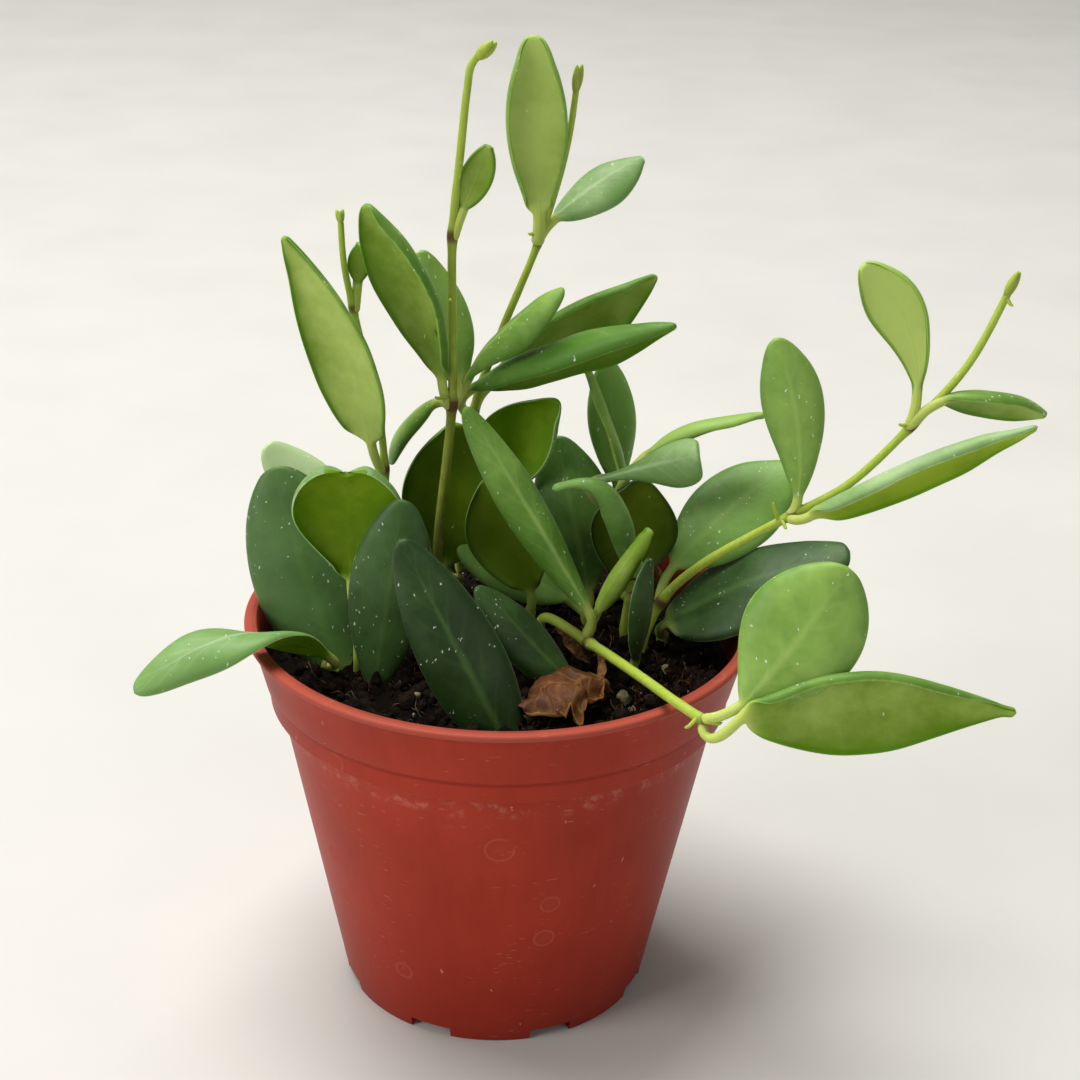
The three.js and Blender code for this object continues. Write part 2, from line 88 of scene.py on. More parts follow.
SOIL = {
    "level": 75,
    "wall_gap": 0.55,
    "edge_drop": 0.8,
    "foot_out": 0.8,
    "waist_in": 0.4,
    "top_out": 0.2,
    "step_in": 0.8,
    "edge_width": 3,
    "bump": 0.9,
    "long_swell": (0.21, 0.17),  # along x and y
    "short_swell": (0.47, 0.39),
    "roughness": 1.9,
    "clods": 0.32,
    "grain": 0.35,
    "clearance": 0.35,
    "rings": 60,
    "sides": 200,
    "reach": 45,  # how far out loose bits lie
    "crumb_heaps": 34,
    "heap": 40,  # crumbs in each
    "crumb": {"least": 0.2, "extra": 2.0, "rarity": 2.2, "finer_from": 1.1},
    "lump": {"dents": 1.2, "dent": 0.45},
    "fibres": 380,
    "fibre": {"shortest": 2, "longest": 7, "highest": 1.3},
    "shred": {"shortest": 1, "longest": 3.2, "highest": 2.6},
    "grit_count": 90,
    # tufts of brown husk: x, y, how far they spread, how many shreds
    "husk": [
        (-14.7, -15, 4.5, 46), (-27, -14.5, 2.5, 16), (24, -28, 4, 24), (33, -22, 6, 40),
        (8, -33, 3, 14), (37, -9, 6, 40),
    ],
    "grit": [  # the larger pale bits: x, y, size
        (3.7, -27.8, 1.5), (6, -29, 1.1), (25.5, -18.4, 1.9), (27, -20.5, 1.2), (34, -8.2, 1.2),
        (-14.7, -18, 0.9), (-30, -27, 0.8), (12, -36, 0.9), (-8, -40, 0.8), (38, -14, 0.8),
    ],
    # dried bits: the points that they follow, their thickness, how flat they are
    "dried": [
        ([(19.5, -22, 77), (20.8, -17, 79), (20.6, -13.6, 81), (20, -12.6, 83)], 1.0, 0.4),
        ([(11, 4, 77), (12.5, 1.5, 80), (14.5, -3, 79), (18, -8, 76)], 1.5, 0.35),
        ([(33, 20, 74), (33, 19.6, 82), (32, 19, 89)], 2.2, 0.4),
    ],
}

ANY_ANGLE = (0, 6.3)

# ---------- the stems ----------
STEM = {
    "root_depth": 12,
    "around": 14,
    "uneven": 0.05,
    "swelling": 0.4,  # at each node where leaves grow
    "swelling_length": 1.8,
    "bark_from": 70,  # the bark thins out from this height to the top
    "bark_reach": 12,  # over this much at least
    "bark_at_top": 0.25,
    "node_bark": 0.9,
    "node_bark_length": 1.1,
    "nub_radii": (0.55, 0.32),
    "nub_droop": 0.15,  # of its length
}
# the scales of a growing tip
BUD = {"around": 10, "pitch": 0.7, "belly_at": 0.45, "belly_out": 0.3, "foot": 0.12, "shown": 0.85,
       "roundness": 0.8}

# ---------- the leaves ----------
LEAF = {
    "around": 28,
    "rings": 40,
    "stalk_share": 0.2,  # of the rings
    "end_crowding": 0.55,  # how much closer the rings are at both ends of the blade
    "blade_by": 0.1,  # how far along the blade the stalk has turned into it
    "twist_by": 0.8,  # and where its twist is done
    "open_by": 0.95,  # and where a fold has opened
    "thickness": 1.5,  # at the midrib
    "edge": 1.0,  # thickness at the margin
    "margin_roundness": 6,
    "roll_full_width": 5,  # a blade narrower than twice this rolls less
    "waviness": 0.6,
    "wave": 0.11,
    "notch_width": 0.9,  # of a notch's depth
    "notch_share": 0.25,  # of the blade's length
    "sunk": 1.6,  # how far the stalk starts back inside the stem
}
WITHERED = {
    "thinness": 0.4,
    "ragged": 0.5,  # how uneven its outline is
    "rag": 9,
    "crumples": ((0.22, 2.4), (0.7, 0.9)),  # how close together they are, and how deep
}
TO_FRONT = (0, -1, 0.25)
TO_BACK = (0, 1, 0.15)

# What a stem and a leaf are like unless STEMS says otherwise.
USUAL_STEM = {"radius": 1.3, "tip_radius": 1.1, "bark": 0.2, "look": "old"}
USUAL_LEAF = {
    "grows": 1,  # the stem point that it grows at
    "elbow": None,  # pulls the stalk out of its way, as a bend does
    "fold": 30,  # how far each half curls under, in degrees
    "arch": 1,  # how far the middle of the blade stands above the line from base to tip
    "skew": 0,  # brings the top of that arch nearer to the stalk
    "hook": 0,  # how far the tip curls under
    "sway": 0,  # bends the blade sideways
    "twist": 0,  # turns it about its length, in degrees
    "widest": 0.52,  # how far along the blade its widest place is
    "blunt": 0.62,  # a low one makes both ends rounder
    "point": None,  # does it for the tip alone
    "flare": (1, 1),  # how much of the fold is left at the tip on each side
    "opens": 0.6,  # where along the blade the fold starts to open
    "notch": 0,  # how deep the tip is notched
    "roll": (40, 40),  # how far the two margins roll under, in degrees
    "rim": 2.2,  # the width that rolls
    "stalk": 1.0,  # the stalk's radius
    "buried": 0,  # how far the foot of the blade stands in the soil
    "tint": 0,  # makes it lighter (above 0) or darker, leaf by leaf; partly painted light and shade
    "under": 0,  # does it for the underside alone; partly a painted glow of light through the leaf
}
# stem is the points that the stem follows, the first one at the soil. Of each leaf, base and tip are
# the ends of its blade, width is its width laid flat, and top is the way its upper face looks.
STEMS = [
    dict(
        node="vine_tall", radius=1.2, tip_radius=0.75, bark=0.5, look="young",
        stem=[(-14, 20, 75), (-14, 18, 90), (-11, 14, 124), (-11, 12, 160), (-9.5, 11, 177),
            (-8.3, 10.3, 189), (-7.4, 9.8, 194), (-3.6, 8.2, 198)],
        bud=dict(scales=2, length=5.6, width=2.0, back=4.6, spread=0.5),
        nubs=[((-12.5, 12.3, 126), (-0.8, -0.5, 0.2), 2.4), ((-11.2, 12.2, 147), (-0.2, -1, 0), 1.5)],
        leaves=[
            dict(grows=2, base=(-13, 13, 129), tip=(-27.5, 4, 168), width=19.5, top=(0.6, 0.8, 0.1),
                 fold=60, arch=3.5, sway=-1, widest=0.55, roll=(50, 80), tint=-0.1),
            dict(grows=2, base=(-10, 17, 128), tip=(-18, 22, 154), width=15, top=(0.2, -1, 0.2), fold=40,
                 widest=0.42, tint=0.5),
            dict(grows=2, base=(-8, 17, 128), tip=(11.2, 4, 152), width=12, top=(-0.5, -0.4, 0.7), fold=75,
                 arch=2, widest=0.6, blunt=0.8, point=0.7, tint=-0.1),
            dict(grows=2, base=(-14, 17, 123), tip=(-24, 25, 106), width=12, top=(-0.8, 0, 0.5), fold=45,
                 arch=3),
            dict(grows=3, base=(-9, 12, 165), tip=(-4, 12, 178), width=7.5, top=TO_BACK, fold=40, arch=0.5,
                 tint=0.1),
        ],
    ),
    dict(
        node="vine_left", radius=1.0, tip_radius=0.65, bark=0.1, look="young",
        stem=[(-25, 14, 75), (-25, 14.5, 92), (-25, 15, 109), (-26, 15, 120), (-31, 14, 144),
            (-32.5, 12, 154), (-33, 12, 163)],
        bud=dict(scales=3, length=3.4, width=1.2, back=1.6, spread=0.8),
        leaves=[
            dict(base=(-28, 13, 95), tip=(-49.5, 14, 114), width=13.5, top=(0.2, -0.8, 0.5), fold=25,
                 sway=-1, point=0.5, look="frosted", tint=1.0),
            dict(grows=2, base=(-27.5, 12, 116), tip=(-43, 2, 162), width=18.5, top=(0.4, 0.9, 0.3),
                 fold=45, arch=2.5, sway=-1.5, widest=0.4, point=0.75, roll=(70, 30), tint=0.3),
            dict(grows=4, base=(-30, 14, 149), tip=(-29, 12, 158), width=5, top=TO_BACK, arch=0.3),
        ],
    ),
    dict(
        node="vine_back", radius=1.1, tip_radius=0.65, bark=0.5, look="young",
        stem=[(-1, 34, 75), (-5, 32, 98), (-7, 27, 117), (-2, 26, 134), (6, 28, 155), (11, 27, 174),
            (13, 26, 190)],
        bud=dict(scales=2, length=6.5, width=1.6, back=5, spread=0.7, bark=0.3),
        nubs=[((5.2, 27.4, 156.5), (-1, -0.4, 0.1), 1.8)],
        leaves=[
            dict(grows=2, base=(-8, 21, 124), tip=(33, -4, 147.8), width=20, top=(0, 0.35, 1), fold=104,
                 arch=4, point=0.85, roll=(50, 0), tint=-0.65, under=0.4),
            dict(grows=2, base=(-4, 27, 123), tip=(30, 18, 151), width=18, top=(-0.3, 0.9, 0.35), fold=45,
                 arch=2, point=0.8, roll=(110, 40), tint=-0.1, under=-0.2),
            dict(grows=4, base=(6, 28, 160), tip=(4, 22, 197.5), width=16, top=TO_BACK, fold=38, arch=2,
                 blunt=0.5, roll=(100, 100), rim=2.8, stalk=1.4, tint=0.8),
            dict(grows=4, base=(9, 29, 159), tip=(27, 36, 170.5), width=12, top=(-0.3, -0.6, 0.7),
                 point=0.75, look="frosted", tint=-0.35),
        ],
    ),
    dict(
        node="vine_right", radius=1.05, tip_radius=0.75, bark=0.1, look="young",
        stem=[(29, -1, 75), (33, 0, 87), (40, -2, 96), (50, -4, 104), (58, -6, 110), (68, -7, 117),
            (79, -8, 130), (89, -6, 142), (97, -4, 160)],
        bud=dict(scales=2, length=6, width=1.7, back=5.4, spread=0.4, bark=0.2),
        nubs=[((54.6, -6, 109.6), (-0.3, -0.4, 1), 4), ((56, -7, 108.3), (0.3, -0.8, -0.3), 1.6),
            ((78, -8.6, 130.5), (-1, -0.4, 0.3), 2.0), ((95.3, -5, 155), (0.6, -0.6, -0.5), 1.8)],
        leaves=[
            dict(base=(35.5, 6, 92), tip=(61, 20, 110), width=20, top=(-0.3, -0.7, 0.6), fold=14, sway=-1,
                 look="mature", tint=0.7),
            dict(grows=4, base=(58.5, -6, 113), tip=(52.2, 0, 144.6), width=14.4, top=TO_FRONT, fold=40,
                 sway=2, widest=0.6, tint=0.35),
            dict(grows=4, base=(61, -9, 111), tip=(102, -14, 133), width=15, top=(-0.3, 0.75, 0.6), fold=70,
                 arch=2, widest=0.42, point=0.8, roll=(60, 20), look="frosted", tint=0.2, under=0.55),
            dict(grows=6, base=(79.5, -8, 136), tip=(67, -4, 161), width=13, top=TO_BACK, fold=40,
                 sway=-3.4, widest=0.66, point=0.65, roll=(25, 90), tint=1.05),
            dict(grows=6, base=(84, -8, 135), tip=(106, -3, 130.5), width=14, top=(0.1, 0.6, 0.8), fold=45,
                 arch=3, tint=0.2),
        ],
    ),
    dict(
        node="cutting_right_low", tip_radius=1.2, bark=0.3,
        stem=[(34, 5, 75), (34, 5, 78)],
        leaves=[
            dict(base=(34.5, 1.2, 81.5), tip=(71, 0.4, 99.4), width=21.2, top=(-0.3, -0.4, 0.85), fold=15,
                 arch=2.1, widest=0.4, point=0.45, tint=0.05),
        ],
    ),
    dict(
        node="runner_front", radius=1.1, tip_radius=1.0, bark=0.0, look="young",
        stem=[(8, 4, 75), (9, 2, 81.6), (18.2, -8, 81.2), (28, -30, 85.2), (33, -42, 87.3),
            (39, -50, 87)],
        nubs=[((37, -49.6, 87), (-0.8, -0.6, -0.3), 2.6), ((39.5, -50.8, 87.5), (0.9, -0.2, 0.1), 2.6)],
        leaves=[
            dict(grows=5, elbow=(40.8, -51.5, 88), base=(45, -52.5, 92), tip=(63, -46, 117.4), width=23.4,
                 top=(-0.2, -1, 0.2), fold=22, sway=0.9, widest=0.54, blunt=0.72, point=0.55, roll=(25, 25),
                 tint=0.3),
            dict(grows=5, elbow=(39, -52.5, 80.5), base=(45, -54, 90.3), tip=(96.3, -48, 89.4), width=20.6,
                 top=(0, 1, -0.05), fold=38, sway=2, widest=0.42, blunt=0.74, point=1.1, roll=(125, 50),
                 rim=3.6, under=-0.2),
            dict(grows=2, base=(18, -8, 88), tip=(-8, 2, 128), width=12.6, top=(0.4, -0.9, 0.2), fold=75,
                 widest=0.55, tint=-0.2),
            dict(grows=2, base=(20, -6.6, 88), tip=(29.6, -9.2, 107.4), width=6.4, top=(0.4, 0.8, -0.4),
                 fold=-95, arch=-1, widest=0.4, blunt=0.7, point=0.6, flare=(-0.6, 0.5), opens=0.8,
                 roll=(-30, -30), tint=0.1, under=-0.25),
        ],
    ),
    dict(
        node="cutting_centre", look="mature",
        stem=[(6, 9, 75), (6, 9, 81)],
        leaves=[
            dict(base=(6, 9, 84), tip=(-3, 10, 110), width=20, top=(0.2, 1, 0.1), fold=40, under=0.8),
        ],
    ),
    dict(
        node="cutting_centre_back", look="frosted",
        stem=[(-10, 29, 75), (-10, 28, 79)],
        leaves=[
            dict(base=(-12.5, 25.5, 82), tip=(-10.5, 24.5, 116), width=24.5, top=TO_BACK, fold=35,
                 roll=(70, 70), look="mature", tint=0.5),
            dict(elbow=(-10.5, 30, 90), base=(-6, 27.5, 100), tip=(10.9, 21.5, 122.6), width=19,
                 top=(0.3, 1, -0.2), fold=35, widest=0.5, point=0.75, roll=(50, 100), tint=-0.6),
        ],
    ),
    dict(
        node="cutting_shaded", look="mature",
        stem=[(18, 14, 75), (18, 14, 78)],
        leaves=[
            dict(base=(18.5, 16, 81), tip=(11, 28, 112.2), width=19, top=(-0.1, -0.9, 0.3), tint=-0.1),
            dict(base=(14, 16, 79), tip=(-10, 17, 90), width=12, top=(0, -0.5, 0.9), fold=25, tint=0.6),
        ],
    ),
    dict(
        node="cutting_rolled", look="mature",
        stem=[(26, 8, 75), (27, 6, 86)],
        leaves=[
            dict(base=(29, 1.5, 92), tip=(9.7, -4, 113.2), width=12.4, top=(0.62, -0.35, 0.7), fold=140,
                 arch=7, skew=-0.6, hook=5, widest=0.42, blunt=0.7, point=1.2, flare=(0.8, 0.8), opens=0.7,
                 roll=(20, 20), tint=0.3),
            dict(base=(24.6, 8.4, 86.8), tip=(28.6, 9.5, 110.3), width=20.6, top=TO_BACK, widest=0.55,
                 roll=(80, 30), look="old", tint=0.2),
        ],
    ),
    dict(
        node="cutting_folded", radius=1.2, tip_radius=1.0, look="frosted",
        stem=[(29, 16, 75), (22, 14, 102)],
        leaves=[
            dict(base=(19, 10, 109.5), tip=(39.4, 2, 118.6), width=13, top=(-0.4, -0.7, 0.45), fold=160,
                 widest=0.72, blunt=0.75, point=0.2, flare=(0.4, 0.4), opens=0.1, roll=(0, 0), tint=-0.6),
            dict(base=(29, 15, 113), tip=(53.5, 16, 122), width=10, top=(-0.4, 0.4, 0.8), fold=45, arch=3,
                 look="young", tint=0.9),
        ],
    ),
    dict(
        node="cutting_upright", radius=1.2, tip_radius=1.0, look="mature",
        stem=[(27, 29, 75), (25, 28, 96)],
        leaves=[
            dict(base=(24, 28.5, 101), tip=(20.8, 27.5, 130.2), width=11.5, top=TO_FRONT, fold=25,
                 tint=1.1),
            dict(base=(25, 24, 102), tip=(15, 23, 131), width=8, top=(0.9, 0.1, 0.3), fold=35, arch=2,
                 look="young", tint=0.5),
        ],
    ),
    dict(
        node="cutting_slim", radius=1.1, tip_radius=1.0,
        stem=[(27.5, -12, 75), (27.5, -12, 77)],
        leaves=[
            dict(base=(27.5, -12, 79), tip=(29.2, -11, 102), width=9, top=(0.8, -0.5, 0.2), tint=-0.15),
        ],
    ),
    dict(
        node="cutting_left", look="frosted",
        stem=[(-35, -9, 75), (-35, -9, 76.5)],
        leaves=[
            dict(base=(-34, -6.4, 77.2), tip=(-47, 5.6, 112.5), width=26.6, top=(-0.1, -1, 0.3), fold=22,
                 widest=0.47, blunt=0.5, buried=5, look="old", tint=0.6),
            dict(base=(-33.5, -13.5, 78.6), tip=(-69, -36, 82), width=12, top=(0, 0.98, 0.17), fold=20,
                 arch=0, sway=-10.1, twist=-105, widest=0.6, point=0.5, tint=-0.7, under=-0.2),
        ],
    ),
    dict(
        node="cutting_heart", radius=1.1, tip_radius=1.0, bark=0.0, look="frosted",
        stem=[(-28.6, -10, 75), (-28.6, -8, 87)],
        leaves=[
            dict(base=(-30.3, -4.5, 91.8), tip=(-30.6, -8, 119.8), width=26.5, top=TO_BACK, fold=32, arch=3,
                 widest=0.6, blunt=0.56, point=0.33, notch=2.8, roll=(90, 90), rim=2.8, tint=-0.3),
        ],
    ),
    dict(
        node="cutting_front_left",
        stem=[(-24.8, -14.2, 75), (-24.8, -14.2, 76)],
        leaves=[
            dict(base=(-24.3, -14.5, 76.4), tip=(-19.2, -11, 113.2), width=18, top=TO_FRONT, fold=25,
                 widest=0.54, blunt=0.56, buried=4, tint=0.25),
        ],
    ),
    dict(
        node="cutting_front",
        stem=[(0, -33, 75), (0, -33, 76)],
        leaves=[
            dict(base=(0, -33, 76.4), tip=(-19, -25, 111), width=18, top=(0.1, -1, 0.4), widest=0.42,
                 blunt=0.55, buried=7, tint=-0.5),
        ],
    ),
    dict(
        node="cutting_small", radius=1.1, tip_radius=1.0,
        stem=[(13, -15, 75), (13, -15, 76)],
        leaves=[
            dict(base=(13, -15, 76.4), tip=(-5, -12, 95), width=12, top=(0.5, -0.7, 0.5), buried=4,
                 tint=-0.25),
        ],
    ),
    dict(
        node="dead_leaf", radius=0.9, tip_radius=0.8, bark=1.0, look="withered",
        stem=[(21, -20, 75), (21, -21, 77.5)],
        leaves=[
            dict(base=(20.5, -22.5, 80), tip=(5, -31, 78.5), width=19, top=(-0.15, -0.3, 1), fold=70,
                 arch=3, blunt=0.5, roll=(20, -150), rim=3.4),
        ],
    ),
]

# ---------- finishes ----------
PAINT = {
    "terracotta": "#a33625",
    "terracotta_dark": "#8e2b1c",
    "terracotta_foot": "#84241a",
    "terracotta_lip_highlight": "#a65243",
    "scuff": "#c98a7c",
    "peat": "#060402",
    "peat_brown": "#20140b",
    "fibre": "#8a7350",
    "husk": "#5f3a20",
    "crumb": "#33241a",
    "grit": "#b7ad84",
    "grit_dark": "#6c6a42",
    "withered_dark": "#3b2417",
    "withered_light": "#a97b48",
    "speck": "#dfe8d6",
    "blemish": "#3b3a17",
    "stem_green": "#8aa02c",
    "stem_light": "#b3c455",
    "stem_brown": "#63492a",
    "floor": "#c8c7c3",
    "floor_light": "#d1d0cc",
}
# The undersides' bright yellow-green is partly their own colour and partly a painted glow of light shining
# through the leaf.
LEAF_LOOKS = {
    "young": {
        "slot": "young_leaf", "stalk": "#b7c565",
        "top": {"deep": "#4a761e", "light": "#92b456", "vein": "#aac46e", "margin": "#9dbb55"},
        "under": {"deep": "#688c14", "light": "#b4c86c", "vein": "#bccb7c", "margin": "#4f7714"},
    },
    # painted sheen: a paler top stands in for the sky's reflection on leaves that face up
    "frosted": {
        "slot": "young_leaf", "stalk": "#b7c565",
        "top": {"deep": "#6f9650", "light": "#b3c999", "vein": "#bfd0a4", "margin": "#c3d2a8"},
        "under": {"deep": "#5f8804", "light": "#9fbb2e", "vein": "#9fbb3c", "margin": "#5d8d16"},
    },
    "mature": {
        "slot": "old_leaf", "stalk": "#9db355",
        "top": {"deep": "#34601a", "light": "#7da650", "vein": "#90ae5c", "margin": "#98b46a"},
        "under": {"deep": "#415e04", "light": "#6d8b1c", "vein": "#758e26", "margin": "#3a5410"},
    },
    "old": {
        "slot": "old_leaf", "stalk": "#8aa04c",
        "top": {"deep": "#1c370f", "light": "#4f7238", "vein": "#587c3a", "margin": "#7c9a68"},
        "under": {"deep": "#3a4c04", "light": "#5f7416", "vein": "#66791f", "margin": "#2b400f"},
    },
    "withered": {
        "slot": "withered_leaf", "stalk": "#7a5a3a",
        "top": {"deep": "#24120a", "light": "#7a4c2c", "vein": "#8c6238", "margin": "#8a6030"},
        "under": {"deep": "#6a4420", "light": "#c79c52", "vein": "#a87c40", "margin": "#b98a44"},
    },
}

# ---------- the camera and the lights ----------
CAMERA = {"target": (7.74, 0, 100.2), "distance": 413.4, "elevation": 24.26, "roll": 1.49, "lens": 67.81}
# name: (place, aimed at, side of the square lamp, watts, colour), places in millimetres
LAMPS = {
    "sky_lamp": ((-400, 350, 1900), (0, 100, 60), 1300, 50, (1.0, 0.99, 0.95)),
    "window_lamp": ((-1500, -900, 900), (0, 0, 90), 900, 18, (1.0, 0.99, 0.96)),
    "fill_lamp": ((1200, -1400, 800), (20, 0, 80), 1200, 5, (1.0, 0.98, 0.95)),
}
WORLD_LIGHT = ("#ecebe6", 0.2)
FLOOR_RADIUS = 3000


# ---------- shape helpers ----------
def lerp(a, b, share):
    return a + (b - a) * share


def ease(share):
    """0 below 0, 1 above 1, and a smooth rise between."""
    share = max(0.0, min(1.0, share))
    return share * share * (3 - 2 * share)


def smooth_line(points, steps=12):
    """Points along one centripetal curve through the given ones, as the part's stems run."""
    points = [Vector(p) for p in points]
    ends = [points[0] * 2 - points[1], *points, points[-1] * 2 - points[-2]]
    line = [points[0]]
    for a, b, c, d in zip(ends, ends[1:], ends[2:], ends[3:]):
        t1 = (b - a).length ** 0.5
        t2 = t1 + (c - b).length ** 0.5
        t3 = t2 + (d - c).length ** 0.5
        for step in range(1, steps + 1):
            t = lerp(t1, t2, step / steps)
            near = a.lerp(b, t / t1).lerp(b.lerp(c, (t - t1) / (t2 - t1)), t / t2)
            far = c.lerp(d, (t - t2) / (t3 - t2))
            far = b.lerp(c, (t - t1) / (t2 - t1)).lerp(far, (t - t1) / (t3 - t1))
            line.append(near.lerp(far, (t - t1) / (t2 - t1)))
    return line


def evenly_spaced(line, pitch):
    """Points at equal distances, about the pitch apart, along a line of points."""
    lengths = [0.0]
    for a, b in zip(line, line[1:]):
        lengths.append(lengths[-1] + (b - a).length)
    count = max(4, round(lengths[-1] / pitch))
    spaced, span = [], 0
    for i in range(count + 1):
        want = lengths[-1] * i / count
        while span < len(line) - 2 and lengths[span + 1] < want:
            span += 1
        here = (want - lengths[span]) / max(lengths[span + 1] - lengths[span], 1e-9)
        spaced.append(line[span].lerp(line[span + 1], here))
    return spaced


def draw_out(bm, around, rings, place, note):
    """Adds a ball drawn out into another closed shape.

    place(ring, angle) says where each point goes, and note sees each point first.
    """
    verts = bmesh.ops.create_uvsphere(bm, u_segments=around, v_segments=rings, radius=1)["verts"]
    for vert in verts:
        ring = round(math.acos(max(-1.0, min(1.0, vert.co.z))) / math.pi * rings)
        angle = math.atan2(vert.co.y, vert.co.x)
        note(vert, ring, angle)
        vert.co = place(ring, angle)
    return verts


def tube(bm, line, radius_at, around=12, note=None, flatness=1.0):
    """Adds a round tube along evenly spaced points, closed by a dome at both ends."""
    rings = len(line) - 1
    normal = (line[1] - line[0]).orthogonal().normalized()
    frames = []
    for i, point in enumerate(line):
        tangent = (line[min(i + 1, rings)] - line[max(i - 1, 0)]).normalized()
        normal = (normal - tangent * normal.dot(tangent)).normalized()
        frames.append((point, tangent, normal, normal.cross(tangent)))

    def place(ring, angle):
        point, tangent, across, other = frames[ring]
        radius = radius_at(point, ring / rings)
        if ring in (0, rings):
            return point + tangent * radius * (0.5 if ring else -0.5)
        return point + across * radius * math.cos(angle) + other * radius * flatness * math.sin(angle)

    def note_place(vert, ring, angle):
        if note:
            note(vert, frames[ring][0])

    return draw_out(bm, around, rings, place, note_place)


def soil_height(x, y):
    """How high the top of the soil stands at a place."""
    long_x, long_y = SOIL["long_swell"]
    short_x, short_y = SOIL["short_swell"]
    swell = math.sin(x * long_x + 1.3) * math.cos(y * long_y)
    swell += 0.5 * math.sin(x * short_x + y * short_y)
    rough = noise.fractal(Vector((x, y, 3)) * SOIL["clods"], 0.7, 2.1, 4)
    return SOIL["level"] + SOIL["bump"] * (swell - 1) + SOIL["roughness"] * rough


def put_in_scene(name, bm):
    mesh = bpy.data.meshes.new(name)
    bm.to_mesh(mesh)
    bm.free()
    thing = bpy.data.objects.new(name, mesh)
    bpy.context.scene.collection.objects.link(thing)
    return thing


def finish_piece(bm, name, materials, slot=None, node=None, finer=0, stage=False):
    """Turns a shape from millimetres into a finished object of the scene."""
    bmesh.ops.recalc_face_normals(bm, faces=bm.faces)
    bmesh.ops.scale(bm, vec=(MM, MM, MM), verts=bm.verts)
    for face in bm.faces:
        face.smooth = True
    piece = put_in_scene(name, bm)
    for material in materials:
        piece.data.materials.append(material)
    if finer:
        finer_mesh = piece.modifiers.new("finer", "SUBSURF")
        finer_mesh.levels = finer_mesh.render_levels = finer
    if stage:
        return
    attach(piece, "root")
    if node:
        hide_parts(node)


# ---------- paint helpers ----------
def colour(code):
    """A hex colour in the linear values that Blender works with."""
    levels = [int(code[i:i + 2], 16) / 255 for i in (1, 3, 5)]
    return (*[c / 12.92 if c <= 0.04045 else ((c + 0.055) / 1.055) ** 2.4 for c in levels], 1.0)


class Value:
    """Something that the shader works out. Arithmetic with it lays Math nodes in its tree."""

    def __init__(self, socket):
        self.socket = socket
        self.tree = socket.id_data

    def calculate(self, how, *others):
        inputs = dict(enumerate((self, *others)))
        return Value(add(self.tree, "Math", inputs, operation=how)[0])

    def __add__(self, other):
        return self.calculate("ADD", other)

    def __sub__(self, other):
        return self.calculate("SUBTRACT", other)

    def __mul__(self, other):
        return self.calculate("MULTIPLY", other)

    def __truediv__(self, other):
        return self.calculate("DIVIDE", other)

    def __pow__(self, other):
        return self.calculate("POWER", other)

    def __abs__(self):
        return self.calculate("ABSOLUTE")


def feed(socket, value):
    if isinstance(value, Value):
        value.tree.links.new(value.socket, socket)
    else:
        socket.default_value = value


def add(tree, kind, inputs, **settings):
    """Adds one node to a tree and gives its outputs."""
    node = tree.nodes.new("ShaderNode" + kind)
    for name, value in settings.items():
        setattr(node, name, value)
    for name, value in inputs.items():
        feed(node.inputs[name], value)
    return node.outputs


def rise(value, low, high):
    """0 at low, 1 at high and smooth between."""
    inputs = {"Value": value, "From Min": low, "From Max": high}
    return Value(add(value.tree, "MapRange", inputs, interpolation_type="SMOOTHSTEP")[0])


def painted(*coats):
    """Coats of colour from the lowest up: the first is a colour or its name in PAINT.

    The others also say where they go, and most of them how strongly.
    """
    base = None
    for coat, *where in coats:
        coat = colour(PAINT[coat]) if isinstance(coat, str) else coat
        if not where:
            base = coat
            continue
        share = where[0] * where[1] if where[1:] else where[0]
        base = Value(add(share.tree, "Mix", {0: share, 6: base, 7: coat}, data_type="RGBA")[2])
    return base


def clouds(vector, size, detail, roughness=0.55):
    """Soft random patches about size millimetres across."""
    inputs = {"Vector": vector, "Detail": detail, "Roughness": roughness, "Scale": 1 / (size * MM)}
    return Value(add(vector.tree, "TexNoise", inputs)[0])


def stretched(vector, scale, turn=(0, 0, 0)):
    """The coordinates turned and stretched, for streaks."""
    return Value(add(vector.tree, "Mapping", {"Vector": vector, "Scale": scale, "Rotation": turn})[0])


def random_cells(vector, scale):
    """How far a place is from the middle of its cell, and two random numbers of that cell."""
    cells = add(vector.tree, "TexVoronoi", {"Vector": vector, "Scale": scale})
    chance = add(vector.tree, "SeparateColor", {0: Value(cells["Color"])})
    return Value(cells["Distance"]), Value(chance[0]), Value(chance[1])


def attribute(tree, name):
    return Value(add(tree, "Attribute", {}, attribute_name=name)["Fac"])


def new_group(name, kinds, results):
    """A node group. Gives the group, its inputs by name and the sockets for its results."""
    group = bpy.data.node_groups.new(name, "ShaderNodeTree")
    for way, sockets in (("INPUT", kinds), ("OUTPUT", results)):
        for label, kind in sockets.items():
            group.interface.new_socket(name=label, in_out=way, socket_type="NodeSocket" + kind)
    sources = group.nodes.new("NodeGroupInput").outputs
    given = {label: Value(sources[label]) for label in kinds}
    return group, given, group.nodes.new("NodeGroupOutput").inputs


def place_group(group, inputs):
    """Puts a node group where its vector comes from, and gives its results by name."""
    outputs = add(inputs["Vector"].tree, "Group", {}, node_tree=group)
    for name, value in inputs.items():
        feed(outputs[0].node.inputs[name], value)
    return {output.name: Value(output) for output in outputs}


def new_material(name, **constants):
    """A material with its shader, where each constant value is set on the shader's own socket."""
    material = bpy.data.materials.new(name)
    material.use_nodes = True
    shader = material.node_tree.nodes["Principled BSDF"]
    for label, value in constants.items():
        shader.inputs[label.replace("_", " ")].default_value = value
    return material, shader, Value(add(material.node_tree, "TexCoord", {})["Object"])


def finish_material(shader, base, rough, height, depth):
    """Feeds the shader. depth is how deep the relief is, in millimetres."""
    bump = add(shader.id_data, "Bump", {"Height": height, "Distance": depth * MM, "Strength": 1.0})
    feed(shader.inputs["Base Color"], base)
    feed(shader.inputs["Roughness"], rough)
    feed(shader.inputs["Normal"], Value(bump["Normal"]))


